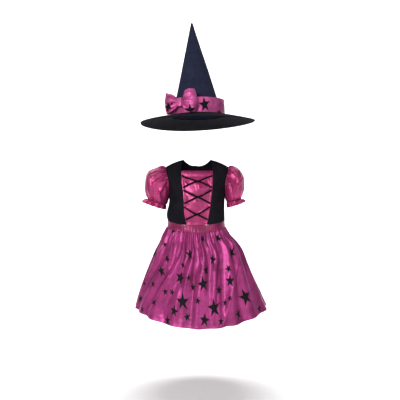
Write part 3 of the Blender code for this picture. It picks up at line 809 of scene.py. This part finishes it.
def felt_of(colours):
    return pick("pressed_felt", pile_cloth, colours.felt, colours.felt_lit, *FELT_NAP)


def shaded_brim_felt_of(colours):
    # Painted shade: the brim's colours are the cone's felt drawn darker, as the brim looks when turned from
    # the light
    return pick("stiffened_shaded_felt", pile_cloth, colours.brim, colours.brim_lit, *FELT_NAP)


def grid_sizes(points):
    """Flat lengths from a grid of points: across each row from its middle, and up each column."""
    across = np.linalg.norm(np.diff(points, axis=1), axis=-1)
    across = np.concatenate((np.zeros((len(points), 1)), np.cumsum(across, axis=1)), axis=1)
    across -= across[:, [across.shape[1] // 2]]
    up = np.linalg.norm(np.diff(points, axis=0), axis=-1)
    up = np.concatenate((np.zeros((1, points.shape[1])), np.cumsum(up, axis=0)))
    return across, up


def cloth(node, points, material, closed=False, lift=None, print_at=(0, 0), fullness=1.0):
    """One piece of cloth through a grid of points on its outside, in place of its CAD node.

    Seen from outside, a row runs to the right and the rows go up. print_at shifts the print, and fullness is
    the flat width over the worn width where gathers too fine for the grid take it up.
    """
    wall, slot, cut, held = PIECES.get(node, LACE_PIECE)
    if lift is not None:
        points = points + outwards(points, closed) * lift[..., None]
    rows, columns = points.shape[:2]
    corner = np.arange(rows * columns).reshape(rows, columns)
    quads = np.stack((corner[:-1, :-1], corner[:-1, 1:], corner[1:, 1:], corner[1:, :-1]), -1).reshape(-1, 4)
    name = f"{node}_cloth"
    mesh = bpy.data.meshes.new(name)
    mesh.from_pydata(points.reshape(-1, 3) * MM, [], quads.tolist())
    across, up = grid_sizes(points)
    if node.startswith("skirt"):
        up = up - up[-1]
    flat = np.stack((across * fullness + print_at[0], up + print_at[1]), -1).reshape(-1, 2)
    layer = mesh.uv_layers.new(name="flat_mm")
    layer.uv.foreach_set("vector", flat[quads.ravel()].ravel())
    piece = bpy.data.objects.new(name, mesh)
    bpy.context.scene.collection.objects.link(piece)
    mesh.materials.append(material)
    bpy.ops.object.select_all(action="DESELECT")
    piece.select_set(True)
    bpy.context.view_layer.objects.active = piece
    if closed:
        bpy.ops.object.mode_set(mode="EDIT")
        bpy.ops.mesh.select_all(action="SELECT")
        bpy.ops.mesh.remove_doubles(threshold=1e-6)
        bpy.ops.object.mode_set(mode="OBJECT")
    thickness = piece.modifiers.new("thickness", "SOLIDIFY")
    thickness.thickness = wall * MM
    thickness.offset = -1
    bpy.ops.object.modifier_apply(modifier=thickness.name)
    bpy.ops.object.shade_smooth_by_angle(angle=math.radians(55))
    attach(piece, "root")
    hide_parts(node)


def grid(columns, rows):
    """u across and v up over a grid with this many steps each way."""
    return np.meshgrid(np.linspace(0, 1, columns + 1), np.linspace(0, 1, rows + 1))


def bodice_place(v):
    """Each row's level and the angle of its outer edge."""
    below = v < UNDERARM_ROW
    turn = 180 * (1 - (v - UNDERARM_ROW) / (1 - UNDERARM_ROW))
    level, outer = armhole(np.clip(turn, 0, 180))
    return np.where(below, UNDERARM_LEVEL * v / UNDERARM_ROW, level), np.where(below, 90.0, outer)


def front_edge_angle(side, level):
    """The angle of a bodice front's inner edge. side is 1 on the wearer's left and -1 on the right."""
    edge = row_at(FRONT_EDGE, "level", level)
    centre = smooth(TORSO["level"], TORSO["centre"], level)
    return angle_across(edge["across"] + side * (edge["lean"] - centre), half_width_at(level))


def make_bodice_front(node, side, colours):
    u, v = grid(70, 130)
    level, outer = bodice_place(v)
    inner = front_edge_angle(side, level)
    angle = side * (inner + (outer - inner) * (u if side > 0 else 1 - u))
    points = torso(level, angle) - (0, SEAM_GAP / 2, 0)
    clear_of_edges = ease(u / 0.1) * ease((1 - u) / 0.1) * ease(v / 0.04) * ease((1 - v) / 0.08)
    lift = 0.7 * ripples(angle / 6, level * 6, 3 + side) * clear_of_edges
    cloth(node, points, velour_of(colours), lift=lift)


def make_bodice_back(node, side, colours):
    """A back whose upper edge dips in a scoop. The left one laps over the right one."""
    u, v = grid(90, 130)
    level, outer = bodice_place(v)
    start = -LAP if side > 0 else 0.0
    share = 1 - u if side > 0 else u
    strip_end = 0.45
    strip = start + (NECK_HALF - start) * np.minimum(share / strip_end, 1.0)
    neck = np.minimum(abs(strip) / NECK_HALF, 1.0)
    top = 1 - BACK_NECK_SCOOP * (1 - neck**2) ** BACK_NECK_POWER
    scooped = (level - SCOOP_FROM_LEVEL) / (1 - SCOOP_FROM_LEVEL) * (top - 1)
    level = level + np.where(level > SCOOP_FROM_LEVEL, scooped, 0.0)
    angle = angle_across(strip, half_width_at(level))
    angle = angle + (outer - angle) * np.maximum(share - strip_end, 0) / (1 - strip_end)
    rise = (VELOUR_WALL + SEAM_GAP) * ease(1 - strip / 2) if side > 0 else np.zeros(u.shape)
    points = torso_out(level, side * (180 - angle), rise) + (0, SEAM_GAP / 2, 0)
    cloth(node, points, velour_of(colours))


def make_insert(colours):
    """The satin front between the two bodice fronts, tucked a little way under each."""
    u, v = grid(110, 150)
    level = INSERT_TOP_LEVEL * v
    tuck = np.degrees(INSERT_TUCK / half_width_at(level))
    low, high = -front_edge_angle(-1, level) - tuck, front_edge_angle(1, level) + tuck
    angle = low + (high - low) * u
    points = torso_out(level, angle, np.full(u.shape, -INSERT_DEPTH))
    hem = 0.5 * ease((v - 0.945) / 0.01)
    shown = ease((u - 0.1) / 0.08) * ease((0.9 - u) / 0.08)
    lift = (2.6 * creased(points, INSERT_CREASES) - 2.6) * shown * ease(v / 0.05) * ease((0.94 - v) / 0.05)
    lift += 0.6 * ripples(angle / 3, level * 25, 8) * shown + hem
    cloth("front_insert", points, satin_of(colours, False), lift=lift)


def make_lace(node, start, end, over, colours):
    """One flat lace from bodice edge to bodice edge. over lifts its middle above the lace it crosses."""
    u, v = grid(80, 6)
    hump = (LACE_WALL + SEAM_GAP) * (ease((u - 0.24) / 0.13) - ease((u - 0.63) / 0.13))
    out = SEAM_GAP + LACE_WALL - INSERT_DEPTH + (hump if over else 0.0 * u)

    def run(t):
        return torso_out(start[0] + (end[0] - start[0]) * t, start[1] + (end[1] - start[1]) * t, out)

    along = unit(run(u + 0.02) - run(u - 0.02))
    level, angle = start[0] + (end[0] - start[0]) * u, start[1] + (end[1] - start[1]) * u
    outward = torso_out(level, angle, np.ones(u.shape)) - torso(level, angle)
    points = run(u) + unit(np.cross(outward, along)) * (LACE_WIDTH * (v - 0.5))[..., None]
    lift = -0.3 * (2 * v - 1) ** 4
    material = pick("plaited_polyester", braid, colours.lace)
    cloth(node, points, material, lift=lift)


def band_point(angle, share):
    """Points of the waistband's outside, from its top edge at share 0 to its lower edge at 1."""
    grown = torso(np.zeros(np.shape(angle)), angle)
    return grown * np.stack((1 + 0.01 * share, 1 + 0.04 * share, 1 + 0 * share), -1) - point(
        0, 0, SEAM_GAP + BAND_HEIGHT * share
    )


def band_out(angle, share, out):
    """Points of the waistband moved straight out from the body."""
    ahead, behind = band_point(angle + 0.5, share), band_point(angle - 0.5, share)
    outward = unit(np.cross(ahead - behind, (0, 0, 1)))
    return band_point(angle, share) + outward * np.expand_dims(out, -1)


def make_waistband(colours):
    lap = angle_across(LAP, TORSO["half_width"][0])
    pieces = (
        ("waistband_front", -90, 90, -1, 300),
        ("waistband_back_left", 90, 180 + lap, 1, 160),
        ("waistband_back_right", 180, 270, 1, 150),
    )
    for node, low, high, facing, columns in pieces:
        u, v = grid(columns, 16)
        angle = low + (high - low) * u
        rise = 0.0 * angle
        if node == "waistband_back_left":
            rise = (SATIN_WALL + SEAM_GAP) * ease((angle - 180 + 2 * lap) / lap)
        points = band_out(angle, 1 - v, rise) + (0, facing * SEAM_GAP / 2, 0)
        puckered = 0.5 * pleats(angle, 70, 4) * ((1 - v) ** 2 + 0.3 * v**2)
        lift = (puckered + 0.4 * ripples(angle / 5, v * 5, 5)) * ease(u / 0.02) * ease((1 - u) / 0.02)
        # Painted shade: the waistband is the sleeves' satin drawn darker, as if in shade
        material = pick("shaded_polyester_satin", satin, colours.shaded_satin)
        cloth(node, points, material, lift=lift - 0.3)


def skirt_point(angle, fall):
    """Points of the skirt's outside with its gathers and folds, and the level direction out from it."""
    row = row_at(SKIRT, "fall", fall)
    x, y = oval(angle, row["half_width"], row["front"], row["back"], 2.0)
    a = np.radians(angle)
    outward = unit(point(np.sin(a) / row["half_width"], y / row["front"] / row["back"], 0))
    steps = np.arange(len(FOLDS["height"]))
    down = ease(fall)
    count, height = np.zeros(angle.shape), np.zeros(angle.shape)
    for i in range(angle.shape[0]):
        ridges = FOLDS["top_angle"] + (FOLDS["hem_angle"] - FOLDS["top_angle"]) * down[i, 0]
        turned = np.where(angle[i] > ridges[0], angle[i], angle[i] + 360)
        turned = np.where(turned <= ridges[-1], turned, turned - 360)
        count[i] = smooth(ridges, steps, turned)
        height[i] = smooth(ridges, FOLDS["height"], turned)
    calmed = 1 - HEM_CALM * ease(fall / 0.4 - 1.5)
    folds = FOLD_HEIGHT * height * np.cos(2 * math.pi * count) * ease(fall / FOLDS_FULL_AT) * calmed
    gathers = GATHER_HEIGHT * np.cos(4 * math.pi * count) * (1 - ease(fall / GATHERS_GONE_AT))
    extra = np.where(np.cos(a) > 0, FRONT_EXTRA_DROP, BACK_EXTRA_DROP) * np.cos(a) ** 2
    top = band_point(angle, np.ones(angle.shape))[..., 2] - GATHERED_SEAM_GAP
    base = point(row["centre"] + x, y, top - (SKIRT_DROP + extra) * fall)
    return base + outward * (folds + gathers)[..., None], outward


def make_skirt(sizes, colours):
    for node, low, facing, print_at in SKIRTS:
        u, v = grid(*SKIRT_GRID)
        angle, fall = low + 180 * u, (1 - v) ** ROW_SPACING
        points, outward = skirt_point(angle, fall)
        points = points + (0, facing * CLOSED_SEAM_GAP / 2, 0)
        fade = 0.12 + 0.07 * np.sin(np.radians(angle) * 9) + 0.05 * np.sin(np.radians(angle) * 23 + 2)
        fine = sizes.gather_height / MM * pleats(angle, FINE_GATHERS, 6) * (1 - ease(fall / (fade + 0.12)))
        soft = 1.2 * ripples(angle / 4, fall * 9, 7) * ease(fall / 0.2)
        hem = 0.5 * ease((fall - 1 + HEM_DEPTH / SKIRT_DROP) * 60)
        sides = ease(u / 0.015) * ease((1 - u) / 0.015)
        drawn = creased(points, SKIRT_CREASES if facing < 0 else SKIRT_BACK_CREASES, facing)
        lift = (fine + soft + SKIRT_CREASING * drawn * ease(fall / 0.08)) * sides + hem
        points = points + outward * lift[..., None]
        cloth(node, points, satin_of(colours, True), print_at=print_at, fullness=FULLNESS)


def armhole_point(turn):
    """Points of the armhole's edge on the wearer's left, going round from the top by way of the front."""
    front = turn <= 180
    level, angle = armhole(np.where(front, turn, 360 - turn))
    return torso(level, np.where(front, angle, 180 - angle))


def sleeve_point(rows, turn, along):
    """Points of a sleeve's outside on the wearer's left, going round from its top by way of the front."""
    row = row_at(rows, "along", along)
    top = point(row["top_out"], 0, row["top_up"])
    under = point(row["under_out"], 0, row["under_up"])
    half = (top - under) / 2
    half_length = np.linalg.norm(half, axis=-1)
    a = np.radians(turn)
    depth = row["half_depth"]
    ring = (top + under) / 2 + half * np.cos(a)[..., None] - point(0, depth * np.sin(a), 0)
    outward = unit(half) * (np.cos(a) / half_length)[..., None] - point(0, np.sin(a) / depth, 0)
    clear_of_body = 1 - 0.85 * ease((-np.cos(a) - 0.1) / 0.7)
    head_only = np.where(along > 0.5, 1.0, ease(np.cos(a) * 2 + 0.6))
    wave = row["wave"] * np.cos(np.radians(CUFF_WAVES * turn)) * clear_of_body * head_only
    ring = ring + unit(outward) * wave[..., None]
    edge = armhole_point(turn % 360) + (SLEEVE_SEAM_GAP, 0, 0)
    blend = ease(along / 0.16)[..., None]
    return edge * (1 - blend) + ring * blend


def make_sleeves(colours):
    for node, rows, side in (("sleeve_left", LEFT_SLEEVE, 1), ("sleeve_right", RIGHT_SLEEVE, -1)):
        u, v = grid(*SLEEVE_GRID)
        along = FRILL_END * (1 - v)
        turn = 360 * (u if side < 0 else 1 - u)
        points = sleeve_point(rows, turn, along) * (side, 1, 1)
        a = np.radians(turn)
        free = 1 - 0.9 * ease((-np.cos(a) - 0.2) / 0.5)
        at_head = HEAD_PLEAT_HEIGHT * pleats(turn, HEAD_PLEATS, 11) * ease(along / 0.05)
        at_head = at_head * (1 - ease((along - 0.05) / 0.22)) * ease(np.cos(a) + 0.8)
        at_elastic = ELASTIC_PLEAT_HEIGHT * pleats(turn, ELASTIC_PLEATS, 12)
        at_elastic = at_elastic * np.exp(-(((along - 1) / 0.13) ** 2))
        drawn_in = -ELASTIC_DEPTH * np.exp(-(((along - 1) / 0.03) ** 2))
        frilled = FRILL_PLEAT_HEIGHT * pleats(turn, FRILL_PLEATS, 13) * ease((along - 1.02) / 0.1)
        soft = 1.0 * ripples(a * 3, along * 9, 14) * ease(along / 0.2) * ease((1 - along) / 0.1)
        drawn = SLEEVE_CREASING * creased(points, SLEEVE_CREASES[node])
        lift = (at_head + at_elastic + frilled + soft + drawn) * free + drawn_in
        cloth(node, points, satin_of(colours, False), closed=True, lift=lift)


def hat_place(points):
    """Points of the upright hat, tilted back and set on the head."""
    back, roll = math.radians(-HAT_TILT_BACK), math.radians(HAT_ROLL)
    tilt = np.array([[1, 0, 0], [0, math.cos(back), -math.sin(back)], [0, math.sin(back), math.cos(back)]])
    lean = np.array([[math.cos(roll), 0, math.sin(roll)], [0, 1, 0], [-math.sin(roll), 0, math.cos(roll)]])
    return points @ (lean @ tilt).T + HAT_CENTRE


def make_crown(colours):
    u, v = grid(160, 150)
    a = 2 * math.pi * (u - 0.5)
    straight = TIP_RADIUS + (CROWN_RADIUS - CROWN_FLARE - TIP_RADIUS) * (1 - v)
    radius = straight + CROWN_FLARE * (1 - ease(v / 0.2))
    radius = np.where(v > 0.999, 0.0, radius)
    height = BRIM_RISE + CROWN_RISE + (CROWN_HEIGHT - CROWN_RISE) * v
    points = point(radius * np.sin(a) - CROWN_LEAN * v, -radius * np.cos(a), height)
    lift = 0.8 * ripples(a * 2, v * 7, 21) * ease((v - 0.2) / 0.1) * ease((1 - v) / 0.1)
    cloth("hat_crown", hat_place(points), felt_of(colours), closed=True, lift=lift)


def make_brim(colours):
    u, v = grid(240, 50)
    a = 2 * math.pi * (u - 0.5)
    share = 1 - v
    radius = BRIM_HOLE_RADIUS + (BRIM_RADIUS - BRIM_HOLE_RADIUS) * share
    warp = BRIM_DROOP * np.cos(2 * a) + BRIM_TWIST * np.sin(2 * a)
    height = BRIM_RISE * (1 - share**BRIM_ROUNDING) - warp * ease(share)
    points = point(radius * np.sin(a), -radius * np.cos(a), height)
    cloth("hat_brim", hat_place(points), shaded_brim_felt_of(colours), closed=True)


def make_hatband(colours):
    u, v = grid(240, 20)
    a = 2 * math.pi * (u - 0.5)
    points = point(
        HATBAND_RADIUS * np.sin(a), -HATBAND_RADIUS * np.cos(a), BRIM_RISE + SEAM_GAP + HATBAND_HEIGHT * v
    )
    lift = 1.0 * ripples(a * 5, v * 6, 22) + 0.4 * ease((abs(v - 0.5) - 0.4) * 30)
    cloth(
        "hat_band",
        hat_place(points),
        trim_of(colours),
        closed=True,
        lift=lift * ease(v / 0.03),
        print_at=HATBAND_PRINT_AT,
        fullness=FULLNESS,
    )


def bow_place(t, r, z):
    """Turns (along the band, out from it, up) at the bow into the hat's own frame."""
    a = math.radians(BOW_ANGLE)
    along, out = np.array((math.cos(a), math.sin(a), 0)), np.array((math.sin(a), -math.cos(a), 0))
    centre = out * BOW_RADIAL + (0, 0, BOW_HEIGHT)
    t, r, z = (np.asarray(x)[..., None] for x in np.broadcast_arrays(t, r, z))
    return hat_place(centre + along * t + out * r + np.array((0, 0, 1)) * z)


def make_bow(colours):
    for node, loop in LOOPS.items():
        side = loop["side"]
        u, v = grid(120, 60)
        step = u if side > 0 else 1 - u
        row = row_at(LOOP, "step", step * LOOP["step"][-1])
        reach = np.clip(row["reach"], 0, 1)
        half = BOW_PINCH + (loop["half_height"] - BOW_PINCH) * row["spread"]
        puff = 1 + (loop["puff"] - 1) * ease((reach - LOOP["reach"][1]) * 4)
        across = 2 * v - 1
        along = SEAM_GAP / 2 + loop["length"] * reach * (1 - loop["bowed"] * reach * across**2)
        points = bow_place(side * along, row["out"] * puff, half * across + loop["rise"] * reach)
        fan = np.cos(across * 9 + 1.5 * side) + 0.5 * np.cos(across * 17 + side)
        lift = 2.4 * fan * ease((reach - 0.1) / 0.3) * ease((1.05 - reach) / 0.5)
        cloth(node, points, trim_of(colours), lift=lift, print_at=LOOP_PRINT_AT[node])
    u, v = grid(80, 20)
    out, up = oval(-360 * u, KNOT_HALF_OUT, KNOT_HALF_HEIGHT, KNOT_HALF_HEIGHT, KNOT_POWER)
    points = bow_place(KNOT_WIDTH * (v - 0.5), out, up)
    lift = 0.5 * np.cos(2 * math.pi * 2.5 * v + 0.6) * ease(v / 0.1) * ease((1 - v) / 0.1)
    cloth("bow_knot", points, trim_of(colours), closed=True, lift=lift, print_at=KNOT_PRINT_AT)


class CostumeSizes(bpy.types.PropertyGroup):
    """Sizes that a user would change."""

    gather_height: bpy.props.FloatProperty(
        name="Gather height",
        description="How far the fine gathers under the waistband stand out",
        default=1.3 * MM,
        min=0.0,
        max=3 * MM,
        subtype="DISTANCE",
        unit="LENGTH",
    )


def colour(name, description, hex_colour):
    return bpy.props.FloatVectorProperty(
        name=name, description=description, default=linear(hex_colour), size=4, min=0, max=1, subtype="COLOR"
    )


class CostumeColours(bpy.types.PropertyGroup):
    """Colours of the cloths and of the stage."""

    satin: colour("Satin", "Dye of the sleeves and the insert", "#b23570")
    printed_satin: colour("Printed satin", "Ground of the skirt", "#a43878")
    # The waistband's colour is painted shade: the same satin as the sleeves, drawn darker
    shaded_satin: colour("Shaded satin", "Satin of the waistband, darkened with painted shade", "#8e2658")
    stars: colour("Stars", "Ink of the printed stars", "#0c0a12")
    velour: colour("Velour", "Dye of the bodice", "#17161b")
    # The lit colours are painted sheen: lighter patches where the pile or the fibres catch the light
    velour_lit: colour("Brushed velour", "Where the bodice's pile is brushed up", "#1d1c22")
    felt: colour("Felt", "Dye of the hat's cone", "#25283a")
    felt_lit: colour("Brushed felt", "Where the cone's fibres catch the light", "#2c2f44")
    # The brim's two colours are painted shade: the cone's felt drawn darker
    brim: colour("Brim felt", "Felt of the hat's brim, darkened with painted shade", "#0d0d12")
    brim_lit: colour("Brushed brim felt", "Where the brim's fibres catch the light", "#131319")
    # Partly the trim's own pink and partly painted highlight: drawn lighter for its broad sheen
    trim_satin_and_sheen: colour("Trim satin", "Ground of the hat's band and its bow", "#cf5c9c")
    lace: colour("Lace", "Dye of the laces", "#0b070e")
    floor: colour("Floor", "Pale floor and backdrop", "#f4f4f4")


class CostumeOperator:
    """What every operator here has in common."""

    bl_options = {"REGISTER", "UNDO"}

    def execute(self, context):
        self.make(context.scene.costume_sizes, context.scene.costume_colours)
        return {"FINISHED"}


class COSTUME_OT_bodice(CostumeOperator, bpy.types.Operator):
    """Make the two bodice fronts and the two bodice backs"""

    bl_idname = "costume.bodice"
    bl_label = "Bodice"

    def make(self, sizes, colours):
        make_bodice_front("bodice_front_left", 1, colours)
        make_bodice_front("bodice_front_right", -1, colours)
        make_bodice_back("bodice_back_left", 1, colours)
        make_bodice_back("bodice_back_right", -1, colours)


class COSTUME_OT_insert(CostumeOperator, bpy.types.Operator):
    """Make the satin insert between the bodice fronts"""

    bl_idname = "costume.insert"
    bl_label = "Insert"

    def make(self, sizes, colours):
        make_insert(colours)


class COSTUME_OT_lacing(CostumeOperator, bpy.types.Operator):
    """Make the three crossed pairs of laces"""

    bl_idname = "costume.lacing"
    bl_label = "Lacing"

    def make(self, sizes, colours):
        clear = math.degrees((SEAM_GAP + LACE_WIDTH / 4) / 60)
        for number, (upper, lower) in enumerate(zip(LACING["upper"], LACING["lower"]), 1):
            high, low = float(level_at_height(upper)), float(level_at_height(lower))
            right, left = -front_edge_angle(-1, high) + clear, front_edge_angle(1, low) - clear
            make_lace(f"lace_{number}_over", (high, right), (low, left), True, colours)
            right, left = -front_edge_angle(-1, low) + clear, front_edge_angle(1, high) - clear
            make_lace(f"lace_{number}_under", (low, right), (high, left), False, colours)


class COSTUME_OT_waistband(CostumeOperator, bpy.types.Operator):
    """Make the waistband's front and its two backs"""

    bl_idname = "costume.waistband"
    bl_label = "Waistband"

    def make(self, sizes, colours):
        make_waistband(colours)


class COSTUME_OT_skirt(CostumeOperator, bpy.types.Operator):
    """Make the gathered skirt's front and back"""

    bl_idname = "costume.skirt"
    bl_label = "Skirt"

    def make(self, sizes, colours):
        make_skirt(sizes, colours)


class COSTUME_OT_sleeves(CostumeOperator, bpy.types.Operator):
    """Make the two puff sleeves with their frills"""

    bl_idname = "costume.sleeves"
    bl_label = "Sleeves"

    def make(self, sizes, colours):
        make_sleeves(colours)


class COSTUME_OT_hat(CostumeOperator, bpy.types.Operator):
    """Make the hat's felt cone and brim"""

    bl_idname = "costume.hat"
    bl_label = "Hat"

    def make(self, sizes, colours):
        make_crown(colours)
        make_brim(colours)


class COSTUME_OT_hat_trim(CostumeOperator, bpy.types.Operator):
    """Make the hat's satin band and bow"""

    bl_idname = "costume.hat_trim"
    bl_label = "Hat band and bow"

    def make(self, sizes, colours):
        make_hatband(colours)
        make_bow(colours)


def add_light(name, place, aim, size, power):
    """A soft square light that points at a place. Sizes in millimetres, power in watts."""
    data = bpy.data.lights.new(name, "AREA")
    data.energy, data.size = power, size * MM
    light = bpy.data.objects.new(name, data)
    bpy.context.scene.collection.objects.link(light)
    light.location = [x * MM for x in place]
    light.rotation_euler = aim_at(place, aim)


def aim_at(place, aim):
    """The turn that points a camera or light from one place at another."""
    across, deep, up = (b - a for a, b in zip(place, aim))
    return (math.pi / 2 + math.atan2(up, math.hypot(across, deep)), 0, math.atan2(-across, deep))


class COSTUME_OT_stage(CostumeOperator, bpy.types.Operator):
    """Make the pale floor with its backdrop, the soft lights and the camera"""

    bl_idname = "costume.stage"
    bl_label = "Stage"

    def make(self, sizes, colours):
        scene = bpy.context.scene
        bpy.ops.object.select_all(action="DESELECT")
        bpy.ops.mesh.primitive_plane_add(size=FLOOR_SIZE * MM, location=(0, 0, FLOOR_HEIGHT * MM))
        floor = bpy.context.object
        floor.name = "floor"
        bpy.ops.object.mode_set(mode="EDIT")
        bpy.ops.mesh.select_all(action="DESELECT")
        bpy.ops.object.mode_set(mode="OBJECT")
        for edge in floor.data.edges:
            edge.select = all(floor.data.vertices[i].co.y > 0 for i in edge.vertices)
        bpy.ops.object.mode_set(mode="EDIT")
        bpy.ops.mesh.extrude_region_move(TRANSFORM_OT_translate={"value": (0, 0, BACKDROP_HEIGHT * MM)})
        bpy.ops.object.mode_set(mode="OBJECT")
        bend = floor.modifiers.new("bend", "BEVEL")
        bend.width, bend.segments = BACKDROP_BEND * MM, BEND_STEPS
        bpy.ops.object.modifier_apply(modifier=bend.name)
        bpy.ops.object.shade_smooth()
        made, tree, output = new_material("matt_paper")
        shader = add(
            tree,
            "ShaderNodeBsdfPrincipled",
            values={"Base Color": colours.floor, "Roughness": 1.0, "Specular IOR Level": 0.0},
        )
        tree.links.new(shader.outputs[0], output.inputs[0])
        floor.data.materials.append(made)
        for name, light in LIGHTS.items():
            add_light(name, *light)
        world = bpy.data.worlds.new("white_room")
        world.use_nodes = True
        world.node_tree.nodes["Background"].inputs["Color"].default_value = (1, 1, 1, 1)
        world.node_tree.nodes["Background"].inputs["Strength"].default_value = ROOM_LIGHT
        scene.world = world
        scene.view_settings.view_transform = "Standard"
        data = bpy.data.cameras.new("camera")
        data.lens, data.sensor_width = CAMERA_LENS, SENSOR_WIDTH
        camera = bpy.data.objects.new("camera", data)
        scene.collection.objects.link(camera)
        camera.location = [x * MM for x in CAMERA_PLACE]
        camera.rotation_euler = aim_at(CAMERA_PLACE, (CAMERA_PLACE[0], 0, CAMERA_AIM_HEIGHT))
        scene.camera = camera


OPERATORS = (
    COSTUME_OT_bodice,
    COSTUME_OT_insert,
    COSTUME_OT_lacing,
    COSTUME_OT_waistband,
    COSTUME_OT_skirt,
    COSTUME_OT_sleeves,
    COSTUME_OT_hat,
    COSTUME_OT_hat_trim,
    COSTUME_OT_stage,
)


class COSTUME_PT_panel(bpy.types.Panel):
    """Lists the costume's settings and what makes each piece"""

    bl_idname = "COSTUME_PT_panel"
    bl_label = "Witch costume"
    bl_space_type = "VIEW_3D"
    bl_region_type = "UI"
    bl_category = "Costume"

    def draw(self, context):
        for group in (context.scene.costume_sizes, context.scene.costume_colours):
            for name in group.__annotations__:
                self.layout.prop(group, name)
        for operator in OPERATORS:
            self.layout.operator(operator.bl_idname)


CLASSES = (CostumeSizes, CostumeColours, *OPERATORS, COSTUME_PT_panel)


def register():
    for cls in CLASSES:
        bpy.utils.register_class(cls)
    bpy.types.Scene.costume_sizes = bpy.props.PointerProperty(type=CostumeSizes)
    bpy.types.Scene.costume_colours = bpy.props.PointerProperty(type=CostumeColours)


def unregister():
    del bpy.types.Scene.costume_colours
    del bpy.types.Scene.costume_sizes
    for cls in reversed(CLASSES):
        bpy.utils.unregister_class(cls)


def main():
    register()
    for operator in OPERATORS:
        group, name = operator.bl_idname.split(".")
        getattr(getattr(bpy.ops, group), name)()


if __name__ == "__main__":
    main()
